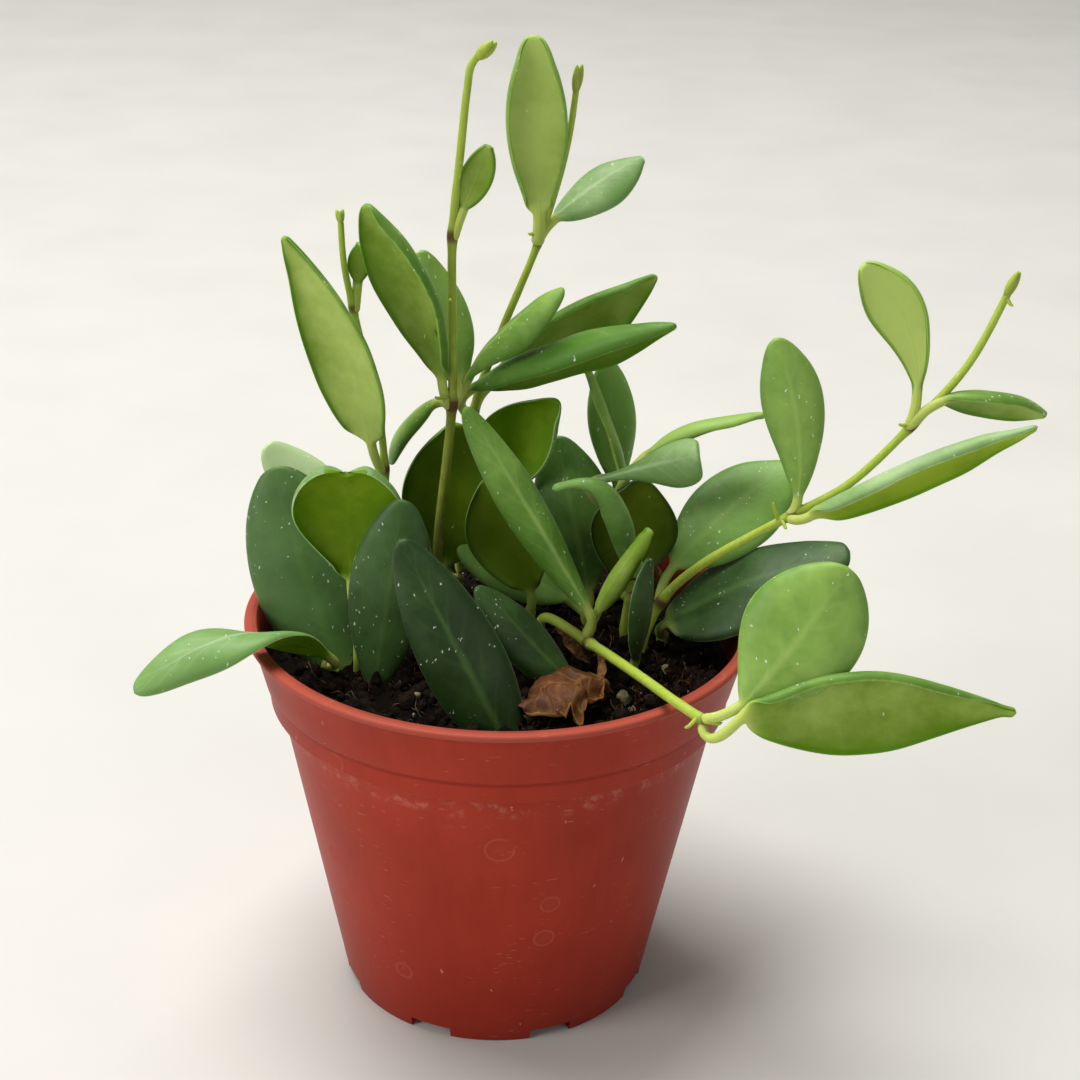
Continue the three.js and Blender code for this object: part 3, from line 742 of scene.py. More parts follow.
# ---------- effects that several finishes share ----------
# In each pair, the effect is absent at the first value and full at the second.
FLECKS = {
    "wander_scale": 1500,
    "wander": 0.8 * MM,  # how far their outlines stray
    "crowd_size": 6,
    "crowds": (0.48, 0.7),
    "in_crowd": 3.5,  # how many more there are in a crowd
    "elsewhere": 0.4,
    "lengthwise": 0.42,  # makes them longer than they are wide
    "turns": ((0.35, 0.1, 0.2), (1.25, 0.6, 0.4)),  # they lie in two ways
    "smallest": 0.3,
    "edge": (1.0, 0.5),
}
RINGS = {"smallest": 0.14, "larger": 0.14, "line": (0.035, 0.0), "inside": 0.25}
VEINS = {
    "rib_width": 0.11,
    "rib_tip": 0.04,
    "rib_taper": (1.02, 0.35),
    "rib_waver": 0.07,
    "rib_fade": (1.0, 0.5),
    "count": 11,
    "slant": 2.1,
    "curve": 0.8,
    "offset": 0.45,  # between the two sides
    "shake": 0.9,
    "line": (0.2, 0.0),
    "fade": (0.8, 0.1),
}


def make_flecks():
    """Short flecks, such as dried spray leaves. They crowd together in places.

    Share is how many of the cells hold one.
    """
    kinds = {"Vector": "Vector", "Cells": "Float", "Size": "Float", "Share": "Float"}
    group, given, result = new_group("small_flecks", kinds, {"Mask": "Float"})
    spot = given["Vector"]
    wander = add(group, "TexNoise", {"Vector": spot, "Scale": FLECKS["wander_scale"], "Detail": 1})
    inputs = {0: Value(wander["Color"]), 1: [FLECKS["wander"]] * 3, 2: spot}
    shaken = Value(add(group, "VectorMath", inputs, operation="MULTIPLY_ADD")[0])
    crowded = rise(clouds(spot, FLECKS["crowd_size"], 3), *FLECKS["crowds"])
    share = given["Share"] * (crowded * FLECKS["in_crowd"] + FLECKS["elsewhere"])
    masks = []
    for turn in FLECKS["turns"]:
        laid = stretched(shaken, (1, 1, FLECKS["lengthwise"]), turn)
        off_middle, chance, larger = random_cells(laid, given["Cells"])
        size = given["Size"] * (larger + FLECKS["smallest"])
        masks.append(rise(off_middle / size, *FLECKS["edge"]) * chance.calculate("LESS_THAN", share))
    feed(result["Mask"], masks[0].calculate("MAXIMUM", masks[1]))
    return group


def make_water_marks():
    """Faint rings that dried drops leave."""
    kinds = {"Vector": "Vector", "Cells": "Float", "Share": "Float"}
    group, given, result = new_group("water_marks", kinds, {"Mask": "Float"})
    off_middle, chance, larger = random_cells(given["Vector"], given["Cells"])
    radius = larger * RINGS["larger"] + RINGS["smallest"]
    ring = rise(abs(off_middle - radius), *RINGS["line"])
    inside = rise(off_middle, radius, 0.0) * RINGS["inside"]
    feed(result["Mask"], (ring + inside) * chance.calculate("LESS_THAN", given["Share"]))
    return group


def make_veins():
    """The midrib, and the side veins that leave it slantwise and fade towards the margin."""
    kinds = {"Vector": "Vector", "Across": "Float", "Along": "Float"}
    group, given, result = new_group("leaf_veins", kinds, {"Midrib": "Float", "Side Veins": "Float"})
    spot, along, off_middle = given["Vector"], given["Along"], abs(given["Across"])
    width = rise(along, *VEINS["rib_taper"]) * VEINS["rib_width"] + VEINS["rib_tip"]
    wavering = (clouds(spot, 2.5, 2) - 0.5) * VEINS["rib_waver"]
    middle = rise((off_middle + wavering) / width, 1.0, 0.0)
    feed(result["Midrib"], middle * rise(along, *VEINS["rib_fade"]))
    other_side = given["Across"].calculate("GREATER_THAN", 0.0) * VEINS["offset"]
    slant = off_middle ** VEINS["curve"] * VEINS["slant"]
    row = along * VEINS["count"] - slant + other_side + clouds(spot, 7, 2) * VEINS["shake"]
    off_vein = abs(row.calculate("FRACT") - 0.5)
    feed(result["Side Veins"], rise(off_vein, *VEINS["line"]) * rise(off_middle, *VEINS["fade"]))
    return group


def flecks_at(spot, cells, size, share):
    return place_group(flecks, {"Vector": spot, "Cells": cells, "Size": size, "Share": share})["Mask"]


def marks_at(spot, cells, share):
    return place_group(water_marks, {"Vector": spot, "Cells": cells, "Share": share})["Mask"]


# What makes a place on a leaf paler, how rough it is and how high it stands.
LEAF_SKIN = {
    "paler": {"broad": 0.8, "small": 0.3, "tint": 0.45, "margin": -0.22},
    "margin_curve": 2.5,
    "tones": (0.15, 1.0),
    "margin_waver": 0.06,
    "margin_end": 0.99,
    "stalk": (0.3, 0.2),
    "rough": {"least": 0.4, "broad": 0.16, "specks": 0.3},
    "height": {"broad": 0.8, "small": 0.4, "midrib": 0.2, "veins": 0.06},
}


def make_leaf_paint():
    """The paint of one side of a leaf, from its stalk to its margin."""
    numbers = ("Across", "Along", "Tint", "Midrib Strength", "Vein Strength", "Margin Start",
               "Margin Strength", "Specks", "Marks", "Blemishes")
    colours = ("Deep", "Light", "Vein", "Margin", "Stalk")
    kinds = {"Vector": "Vector", **dict.fromkeys(numbers, "Float"), **dict.fromkeys(colours, "Color")}
    results = {"Colour": "Color", "Roughness": "Float", "Height": "Float"}
    group, given, result = new_group("leaf_paint", kinds, results)
    spot, along, off_middle = given["Vector"], given["Along"], abs(given["Across"])
    lines = place_group(veins, {"Vector": spot, "Across": given["Across"], "Along": along})
    marks = marks_at(spot, 75, given["Marks"])
    spots = flecks_at(spot, 850, 0.16, given["Specks"])
    flaws = flecks_at(spot, 170, 0.085, given["Blemishes"])
    broad = clouds(spot, 14, 2)
    small = clouds(spot, 2.2, 4)
    paler, rough, high = (LEAF_SKIN[name] for name in ("paler", "rough", "height"))
    tone = broad * paler["broad"] + small * paler["small"] + given["Tint"] * paler["tint"]
    tone += off_middle ** LEAF_SKIN["margin_curve"] * paler["margin"]
    wavy = off_middle + (small - 0.5) * LEAF_SKIN["margin_waver"]
    at_margin = rise(wavy, given["Margin Start"], LEAF_SKIN["margin_end"])
    feed(result["Colour"], painted(
        (given["Deep"],),
        (given["Light"], rise(tone, *LEAF_SKIN["tones"])),
        (given["Vein"], lines["Side Veins"], given["Vein Strength"]),
        (given["Vein"], lines["Midrib"], given["Midrib Strength"]),
        (given["Margin"], at_margin, given["Margin Strength"]),
        (given["Stalk"], rise(along, *LEAF_SKIN["stalk"])),
        (given["Vein"], marks, 0.3),
        ("speck", spots, 0.75),
        ("blemish", flaws, 0.75),
    ))
    feed(result["Roughness"], broad * rough["broad"] + rough["least"] + spots * rough["specks"])
    sunk = lines["Midrib"] * high["midrib"] + lines["Side Veins"] * high["veins"]
    feed(result["Height"], small * high["small"] - sunk + broad * high["broad"])
    return group


flecks = make_flecks()
water_marks = make_water_marks()
veins = make_veins()
leaf_paint = make_leaf_paint()


# ---------- materials ----------
# How strongly each side of a leaf shows its midrib, side veins, margin, specks and flaws.
LEAF_SIDES = {
    # the pale margin on the top is partly the leaf's own edge colour and partly a painted highlight along
    # its rounded rim
    "top": {"Midrib Strength": 0.42, "Vein Strength": 0.1, "Margin Start": 0.955, "Margin Strength": 0.6,
            "Specks": 0.3, "Marks": 0.07, "Blemishes": 0.0},
    "under": {"Midrib Strength": 0.06, "Vein Strength": 0.03, "Margin Start": 0.8, "Margin Strength": 0.75,
              "Specks": 0.02, "Marks": 0.0, "Blemishes": 0.12},
}
WITHERED_SIDES = {"Midrib Strength": 0.3, "Vein Strength": 0.3, "Specks": 0.12, "Margin Start": 0.6,
                  "Blemishes": 0.3}
LEAF_RELIEF = {"fresh": 0.22, "withered": 1.2}
# how much the two sides shine, and the soft bloom on them
LEAF_SHINE = {
    "top": {"Specular_IOR_Level": 0.3, "Sheen_Weight": 0.1, "Sheen_Roughness": 0.4},
    "under": {"Specular_IOR_Level": 0.14, "Sheen_Weight": 0.0, "Sheen_Roughness": 0.5},
}
LEAF_GLOW = {"Subsurface_Weight": 0.3, "Subsurface_Scale": 0.0022, "Subsurface_Radius": (0.6, 1.0, 0.08)}
WITHERED_SHINE = {"Specular_IOR_Level": 0.1, "Sheen_Weight": 0.0}
# The pot's finish, with heights in millimetres. Each effect is absent at the first value of a pair.
POT_PAINT = {
    "tones": (0.25, 0.75),
    "foot": (40, 4),
    # painted highlight: the top of the lip is painted lighter
    "lip": (81.9, 82.7),
    "wall": {"slope": 0.237, "radius": 31.1},  # the middle of the wall: radius at the base, and its slope
    # painted shade on the inside wall above the soil: where the wall is, how high it reaches, where it
    # fades out upwards and how much its edge wavers
    "inside": (-0.1, 0.2),
    "above_soil": (73, 74),
    "shade_fade": (84, 74),
    "shade_waver": 6,
    # painted shade in the creases under the step and under the band's foot: their heights, then how far the
    # shade reaches
    "creases": (70.9, 66.2),
    "crease": (0.75, 0.2),
    "rubbed_foot": (60.5, 64),
    "rubbed_top": (67, 65),
    "rubbed": (0.5, 0.72),
    "scratch_turns": (0.5, -0.9, 1.9),
    "scratch": (0.73, 0.78),
    "scratched": (0.45, 0.65),
    "rough": {"least": 0.36, "broad": 0.12, "worn": 0.3},
}


def leaf_material(look, side):
    paint = LEAF_LOOKS[look]
    withered = look == "withered"
    shine = WITHERED_SHINE if withered else LEAF_GLOW
    material, shader, spot = new_material(f"{look}_leaf_{side}", **{**LEAF_SHINE[side], **shine})
    given = {"Vector": spot, "Stalk": colour(paint["stalk"]), **LEAF_SIDES[side]}
    given.update({name.title(): attribute(spot.tree, name) for name in ("across", "along", "tint")})
    given.update({name.title(): colour(code) for name, code in paint[side].items()})
    if withered:
        given.update(WITHERED_SIDES)
    skin = place_group(leaf_paint, given)
    relief = LEAF_RELIEF["withered" if withered else "fresh"]
    finish_material(shader, skin["Colour"], skin["Roughness"], skin["Height"], relief)
    return material


def stem_material():
    """Yellow-green stem with fine streaks along it, browner where the bark sets in."""
    material, shader, spot = new_material("stem_skin", Specular_IOR_Level=0.25, **LEAF_GLOW)
    streaks = clouds(stretched(spot, (1, 1, 0.2)), 0.9, 3)
    patches = clouds(spot, 5, 2)
    spots = flecks_at(spot, 700, 0.2, 0.12)
    bark = attribute(spot.tree, "bark") + (patches - 0.5) * 0.5
    base = painted(
        ("stem_green",),
        ("stem_light", streaks),
        ("stem_brown", rise(bark, 0.1, 0.95)),
        ("speck", spots, 0.4),
    )
    finish_material(shader, base, rise(patches, -0.5, 1.6), streaks, depth=0.12)
    return material


def pot_material():
    """Moulded plastic, faintly streaked, with scuffs, drops' rings and dust from handling, painted shade in
    its creases and inside, and a painted highlight on its lip.
    """
    material, shader, spot = new_material("moulded_plastic", Specular_IOR_Level=0.09)
    p = POT_PAINT
    height = Value(add(spot.tree, "SeparateXYZ", {0: spot})["Z"]) / MM
    flat = stretched(spot, (1, 1, 0))
    outwards = Value(add(spot.tree, "VectorMath", {0: flat}, operation="LENGTH")["Value"]) / MM
    broad = clouds(spot, 34, 2)
    streaks = clouds(stretched(spot, (1, 1, 0.12)), 3, 3)
    tone = rise(broad * 0.75 + streaks * 0.25, *p["tones"])
    # inside, above the soil, painted shade darkens the wall, most near the soil, with a wavering upper edge
    inwards = height * p["wall"]["slope"] + p["wall"]["radius"] - outwards
    inside = rise(inwards, *p["inside"]) * rise(height, *p["above_soil"])
    inside_shade = inside * rise(height - clouds(spot, 6, 3) * p["shade_waver"], *p["shade_fade"])
    # painted shade along the creases under the step and under the band's foot
    crease_shade = [rise(abs(height - crease), *p["crease"]) for crease in p["creases"]]
    # rubbed pale on the band and finely scratched all over
    under_step = rise(height, *p["rubbed_foot"]) * rise(height, *p["rubbed_top"])
    scuffed = under_step * rise(clouds(spot, 3.2, 4, 0.65), *p["rubbed"]) * 0.45
    scratch = rise(clouds(spot, 16, 2), *p["scratched"])
    scratches = []
    for turn in p["scratch_turns"]:
        lines = clouds(stretched(spot, (0.16, 0.16, 1), (turn, turn * 0.4, 0)), 0.5, 1)
        scratches.append(rise(lines, *p["scratch"]))
    first, second, third = scratches
    scratch *= first.calculate("MAXIMUM", second).calculate("MAXIMUM", third)
    marks = marks_at(spot, 95, 0.2)
    dust = flecks_at(spot, 330, 0.1, 0.07)
    base = painted(
        ("terracotta_dark",),
        ("terracotta", tone),
        ("terracotta_foot", rise(height, *p["foot"]), 0.4),
        # painted highlight on the lip
        ("terracotta_lip_highlight", rise(height, *p["lip"]), 0.7),
        ("peat_brown", inside_shade, 0.9),
        ("terracotta_foot", crease_shade[0], 0.7),
        ("terracotta_foot", crease_shade[1], 0.7),
        ("scuff", scuffed),
        ("scuff", scratch, 0.35),
        ("scuff", marks, 0.15),
        ("scuff", dust, 0.65),
    )
    rough = broad * p["rough"]["broad"] + p["rough"]["least"] + (scuffed + marks) * p["rough"]["worn"]
    grain = clouds(spot, 0.45, 3) - scratch * 0.6
    finish_material(shader, base, rough, grain, depth=0.035)
    return material


def earth_material(name, deep, light, grain_size, depth, wet=0.55, shine=0.12):
    """Damp peat, its crumbs and its grit: two sizes of grain, the damp ones glossier."""
    material, shader, spot = new_material(name, Specular_IOR_Level=shine)
    big = clouds(spot, grain_size * 5, 3)
    small = clouds(spot, grain_size, 5, 0.7)
    tone = rise((big + small) * 0.5, 0.38, 0.72)
    base = painted((deep,), (light, tone))
    finish_material(shader, base, rise(big, -wet, 0.75), small, depth)
    return material


def floor_material():
    material, shader, spot = new_material("pale_floor")
    soft = clouds(spot, 60, 3)
    base = painted(("floor",), ("floor_light", soft))
    finish_material(shader, base, rise(soft, -2.0, 1.6), clouds(spot, 1.5, 2), depth=0.02)
    return material


leaf_materials = {look: [leaf_material(look, side) for side in ("top", "under")] for look in LEAF_LOOKS}
stem_skin = stem_material()
moulded_plastic = pot_material()
peat = earth_material("peat", "peat", "peat_brown", 0.7, 1.1)
peat_crumb = earth_material("peat_crumb", "peat", "crumb", 0.5, 0.5)
fibre = earth_material("peat_fibre", "peat_brown", "fibre", 1.6, 0.1, 0.2)
husk = earth_material("brown_husk", "peat_brown", "husk", 1.0, 0.3, 0.2)
grit = earth_material("grit", "grit_dark", "grit", 0.5, 0.25, 0.3, 0.3)
withered_skin = earth_material("withered_skin", "withered_dark", "withered_light", 0.9, 0.5)


# ---------- leaves and stems ----------
def outline(along, widest, blunt, point):
    """The blade's outline: 0 at both ends and 1 at the widest place."""
    arc = math.sin(math.pi * along ** (math.log(0.5) / math.log(widest)))
    return max(arc, 0.0) ** (blunt if along < widest else point)


def cross_section(reach, half_width, fold, roll, rim):
    """Follows the blade from its midrib towards a margin, where 1 is all of the way.

    Gives how far sideways and how far down the place is, and how far the blade leans there.
    """
    rolls_from = 1 - min(0.5, rim / half_width)
    roll *= min(1, half_width / LEAF["roll_full_width"])
    steps = 10
    sideways = down = lean = 0.0
    for step in range(steps + 1):
        place = reach * step / steps
        lean = fold * place + roll * ease((place - rolls_from) / (1 - rolls_from))
        share = half_width * reach / steps * (0.5 if step in (0, steps) else 1)
        sideways += share * math.cos(lean)
        down += share * math.sin(lean)
    return sideways, down, lean


def leaf_piece(spec, leaf, name):
    """One leaf with its stalk. How far across and along it each point is goes with it for its paint."""
    base, tip = Vector(leaf["base"]), Vector(leaf["tip"])
    base -= (tip - base).normalized() * leaf["buried"]
    chord = tip - base
    forward = chord.normalized()
    side = forward.cross(Vector(leaf["top"])).normalized()
    top = side.cross(forward)
    # the two middle pulls of the midrib, so that its middle stands as far out as arch and sway say
    arch, hook, skew = leaf["arch"] * 4 / 3, leaf["hook"], leaf["skew"]
    bow = base + side * leaf["sway"] * 4 / 3
    first_pull = bow + chord / 3 + top * arch * (1 + skew)
    last_pull = bow + chord * 2 / 3 + top * (arch * (1 - skew) + hook) + forward * hook * 1.5
    node, below = (Vector(spec["stem"][leaf["grows"] - back]) for back in (0, 1))
    node += (below - node).normalized() * LEAF["sunk"]
    away = (first_pull - base).normalized()
    elbow = Vector(leaf["elbow"] or base - away * (node - base).length * 0.5)
    rings, around = LEAF["rings"], LEAF["around"]
    stalk_rings = round(rings * LEAF["stalk_share"])
    fold, twist = math.radians(leaf["fold"]), math.radians(leaf["twist"])
    rolls = [math.radians(degrees) for degrees in leaf["roll"]]
    point_blunt = leaf["blunt"] if leaf["point"] is None else leaf["point"]
    stalk_radius, notch = leaf["stalk"], leaf["notch"]
    withered = leaf["look"] == "withered"

    def midrib(t):
        a, b, c, d = base, first_pull, last_pull, tip
        point = a * (1 - t) ** 3 + b * 3 * (1 - t) ** 2 * t + c * 3 * (1 - t) * t * t + d * t ** 3
        return point, ((b - a) * (1 - t) ** 2 + (c - b) * 2 * (1 - t) * t + (d - c) * t * t).normalized()

    def along_stalk(t):
        point = node * (1 - t) ** 2 + elbow * 2 * (1 - t) * t + base * t * t
        return point, ((elbow - node) * (1 - t) + (base - elbow) * t).normalized()

    def half_width_at(share, across):
        half_width = leaf["width"] / 2 * outline(share, leaf["widest"], leaf["blunt"], point_blunt)
        if withered:
            side_seed = math.copysign(3, across)
            uneven = noise.noise(Vector((share * WITHERED["rag"], side_seed, 0)))
            half_width *= 1 + WITHERED["ragged"] * uneven
        return max(stalk_radius, half_width)

    def place(ring, angle):
        if ring == 0:
            return node
        if ring == rings:
            return tip - forward * notch
        share = 0.0
        if ring <= stalk_rings:
            point, tangent = along_stalk(ring / stalk_rings)
        else:
            even = (ring - stalk_rings) / (rings - stalk_rings)
            share = lerp(even, (1 - math.cos(math.pi * even)) / 2, LEAF["end_crowding"])
            point, tangent = midrib(share)
        facing = Matrix.Rotation(twist * ease(share / LEAF["twist_by"]), 3, forward) @ top
        out = facing.cross(tangent).normalized()
        above = tangent.cross(out)
        across, lift = -math.cos(angle), math.sin(angle)
        half_width = half_width_at(share, across)
        blade = ease(share / LEAF["blade_by"])
        thick = lerp(LEAF["thickness"], LEAF["edge"], across * across) / 2
        if withered:
            thick *= WITHERED["thinness"]
        margin = max(1 - abs(across) ** LEAF["margin_roundness"], 0) ** 0.5
        height = lerp(stalk_radius * lift, math.copysign(thick * margin, lift), blade)
        half = 0 if across < 0 else 1
        opening = ease((share - leaf["opens"]) / (LEAF["open_by"] - leaf["opens"]))
        bend = fold * blade * lerp(1, leaf["flare"][half], opening)
        roll = rolls[half] * blade
        sideways, down, lean = cross_section(abs(across), half_width, bend, roll, leaf["rim"])
        spot = point + out * math.copysign(sideways + height * math.sin(lean), across)
        spot += above * (height * math.cos(lean) - down)
        if notch:
            dent = math.exp(-(sideways / notch / LEAF["notch_width"]) ** 2)
            spot -= forward * notch * dent * ease(1 - (1 - share) / LEAF["notch_share"])
        if withered:
            crumples = [noise.noise_vector(spot * pitch) * depth for pitch, depth in WITHERED["crumples"]]
            return spot + sum(crumples, Vector()) * blade
        return spot + above * noise.noise(spot * LEAF["wave"]) * LEAF["waviness"] * blade

    bm = bmesh.new()
    layers = {key: bm.verts.layers.float.new(key) for key in ("across", "along", "tint")}
    lifts = {}

    def note(vert, ring, angle):
        ends = ring in (0, rings)
        vert[layers["across"]] = 0.0 if ends else -math.cos(angle)
        vert[layers["along"]] = ring / rings
        lifts[vert] = 0.0 if ends else math.sin(angle)
        vert[layers["tint"]] = leaf["tint"] + (leaf["under"] if lifts[vert] < 0 else 0)

    draw_out(bm, around, rings, place, note)
    for face in bm.faces:
        face.material_index = 1 if sum(lifts[vert] for vert in face.verts) < 0 else 0
    look = leaf["look"]
    finish_piece(bm, name, leaf_materials[look], LEAF_LOOKS[look]["slot"], spec["node"], finer=1)


def add_bud(bm, layer_key, spec):
    """The folded leaves at a growing tip: small pointed scales that part a little at their ends."""
    bud = spec["bud"]
    end, before = Vector(spec["stem"][-1]), Vector(spec["stem"][-2])
    forward = (end - before).normalized()
    start = end - forward * bud["back"]
    sideways = forward.orthogonal().normalized()

    def radius_at(point, share):
        scale = math.sin(math.pi * min(1, share * BUD["shown"] + BUD["foot"])) ** BUD["roundness"]
        return bud["width"] / 2 * max(scale, BUD["foot"])

    for i in range(bud["scales"]):
        lean = Matrix.Rotation(i * 2 * math.pi / bud["scales"], 3, forward) @ sideways
        line = smooth_line([
            start,
            start + forward * bud["length"] * BUD["belly_at"] + lean * bud["width"] * BUD["belly_out"],
            start + forward * bud["length"] + lean * bud["spread"],
        ])
        for vert in tube(bm, evenly_spaced(line, BUD["pitch"]), radius_at, BUD["around"]):
            vert[layer_key] = bud.get("bark", 0.0)


def stem_piece(spec):
    """The stem with a swelling at each node where leaves grow, its growing tip and its root nubs."""
    first = Vector(spec["stem"][0])
    line = evenly_spaced(smooth_line([first - Vector((0, 0, STEM["root_depth"])), *spec["stem"]]), 1.0)
    nodes = [Vector(spec["stem"][i]) for i in {leaf["grows"] for leaf in spec["leaves"]}]
    low, top = STEM["bark_from"], Vector(spec["stem"][-1]).z

    def near_node(point, spread):
        return max(math.exp(-((point - node).length / spread) ** 2) for node in nodes)

    def radius_at(point, share):
        uneven = 1 + STEM["uneven"] * noise.noise(point * 0.5)
        swelling = 1 + STEM["swelling"] * near_node(point, STEM["swelling_length"])
        return lerp(spec["radius"], spec["tip_radius"], share) * uneven * swelling

    bm = bmesh.new()
    layer_key = bm.verts.layers.float.new("bark")

    def note(vert, point):
        height = ease((point.z - low) / max(top - low, STEM["bark_reach"]))
        at_node = STEM["node_bark"] * near_node(point, STEM["node_bark_length"])
        vert[layer_key] = spec["bark"] * lerp(1, STEM["bark_at_top"], height) + at_node

    tube(bm, line, radius_at, STEM["around"], note)
    if "bud" in spec:
        add_bud(bm, layer_key, spec)
    for place, way, length in spec.get("nubs", []):
        start = Vector(place)
        way = Vector(way).normalized()
        droop = start + way * length * 0.6 + Vector((0, 0, -STEM["nub_droop"] * length))
        nub = evenly_spaced(smooth_line([start - way * 1.2, start, droop, start + way * length]), 0.5)
        for vert in tube(bm, nub, lambda point, share: lerp(*STEM["nub_radii"], share), 8):
            vert[layer_key] = 0.0
    slot = LEAF_LOOKS[spec["leaves"][0]["look"]]["slot"]
    finish_piece(bm, spec["node"] + "_stem", [stem_skin], slot, spec["node"], finer=1)


for plain_spec in STEMS:
    spec = {**USUAL_STEM, **plain_spec}
    spec["leaves"] = [{**USUAL_LEAF, "look": spec["look"], **leaf} for leaf in spec["leaves"]]
    stem_piece(spec)
    for i, leaf in enumerate(spec["leaves"]):
        leaf_piece(spec, leaf, f"{spec['node']}_leaf_{i + 1}")


# ---------- pot ----------
def spun(profile, sides):
    """A closed shell of revolution about Z from (radius, height) points that start and end on the axis."""
    bm = bmesh.new()
    verts = [bm.verts.new((radius, 0, height)) for radius, height in with_rows(profile, POT["row_height"])]
    edges = [bm.edges.new(pair) for pair in zip(verts, verts[1:])]
    bmesh.ops.spin(bm, geom=verts + edges, cent=(0, 0, 0), axis=(0, 0, 1), angle=2 * math.pi,
                   steps=sides, use_merge=True)
    bmesh.ops.remove_doubles(bm, verts=bm.verts, dist=1e-4)
    bmesh.ops.dissolve_degenerate(bm, edges=bm.edges, dist=1e-5)
    bmesh.ops.recalc_face_normals(bm, faces=bm.faces)
    return bm


def round_over(bm, width, turn):
    """Rounds the edges that turn by more than an angle in degrees."""
    limit = math.radians(turn)
    edges = [e for e in bm.edges if len(e.link_faces) == 2 and e.calc_face_angle(0) > limit]
    bmesh.ops.bevel(bm, geom=edges, offset=width, offset_type="OFFSET", segments=3, profile=0.5,
                    affect="EDGES", material=-1, clamp_overlap=True)


def mark_sharp(bm, angle):
    for edge in bm.edges:
        edge.smooth = edge.calc_face_angle(0) < math.radians(angle)


def pot_profile():
    """Half of the pot's section, from the middle of its underside round the lip to the middle inside."""
    p = POT
    band_foot = p["height"] - p["band_drop"]
    step = p["height"] - p["step_drop"]
    lip_foot = p["height"] - p["lip_height"]
    rim, wall, rounding = p["rim_radius"], p["wall"], p["lip_rounding"]
    return [
        (0, 0),
        (p["disc_radius"], 0),
        (p["disc_radius"] + p["channel_slope"], p["channel_height"]),
        (p["foot_radius"] - p["foot_ring"] - p["channel_slope"], p["channel_height"]),
        (p["foot_radius"] - p["foot_ring"], 0),
        (p["foot_radius"], 0),
        (p["body_top_radius"], band_foot - p["shoulder_height"]),
        (p["band_foot_radius"], band_foot),
        (p["step_radius"] - p["step_depth"], step),
        (p["step_radius"], step + p["step_depth"]),
        (p["band_top_radius"], lip_foot),
        (rim, lip_foot + rounding),
        (rim, p["height"] - rounding),
        (rim - rounding, p["height"]),
        (p["band_top_radius"] - wall, p["height"]),
        (p["step_radius"] - p["step_depth"] - wall, step),
        (p["band_foot_radius"] - wall - p["thicker_band"], band_foot - p["shoulder_height"]),
        (p["body_top_radius"] - wall, band_foot - p["shoulder_drop"]),
        (p["foot_radius"] - wall + p["floor_corner"], p["channel_height"] + p["floor"]),
        (0, p["channel_height"] + p["floor"]),
    ]


def with_rows(profile, longest):
    """The same profile with points added, so that no stretch of it is longer than a length."""
    fuller = profile[:1]
    for (r1, z1), (r2, z2) in zip(profile, profile[1:]):
        rows = math.ceil(math.hypot(r2 - r1, z2 - z1) / longest)
        fuller += [(lerp(r1, r2, i / rows), lerp(z1, z2, i / rows)) for i in range(1, rows + 1)]
    return fuller


def around_the_drain(make):
    """One of a shape at each drain hole."""
    bm = bmesh.new()
    for i in range(POT["drain_holes"]):
        make(bm, Matrix.Rotation((i + 0.5) / POT["drain_holes"] * 2 * math.pi, 4, "Z"))
    return bm


def add_hole(bm, turn):
    place = turn @ Matrix.Translation((POT["drain_circle"], 0, 0))
    radius = POT["drain_radius"]
    bmesh.ops.create_cone(bm, cap_ends=True, segments=POT["drain_sides"], radius1=radius,
                          radius2=radius, depth=POT["drain_depth"], matrix=place)


def add_notch(bm, turn):
    size = Matrix.Diagonal((POT["foot_ring"] * 4, POT["notch_width"], POT["channel_height"] * 2, 1))
    bmesh.ops.create_cube(bm, size=1, matrix=turn @ Matrix.Translation((POT["foot_radius"], 0, 0)) @ size)


def cut_away(bm, cutter_bm):
    """The first shape without what the second one covers."""
    blank, cutter = put_in_scene("blank", bm), put_in_scene("cutter", cutter_bm)
    cut = blank.modifiers.new("cut", "BOOLEAN")
    cut.object = cutter
    cut.operation = "DIFFERENCE"
    cut.solver = "EXACT"
    shown = blank.evaluated_get(bpy.context.evaluated_depsgraph_get())
    result = bmesh.new()
    result.from_mesh(shown.to_mesh())
    shown.to_mesh_clear()
    for thing in (blank, cutter):
        mesh = thing.data
        bpy.data.objects.remove(thing)
        bpy.data.meshes.remove(mesh)
    return result


def pot_piece():
    bm = spun(pot_profile(), POT["sides"])
    round_over(bm, POT["edge_rounding"], POT["rounds_from"])
    bm = cut_away(bm, around_the_drain(add_notch))
    bm = cut_away(bm, around_the_drain(add_hole))
    mark_sharp(bm, POT["sharp_from"])
    finish_piece(bm, "nursery_pot", [moulded_plastic], "pot_plastic", "pot")


pot_piece()


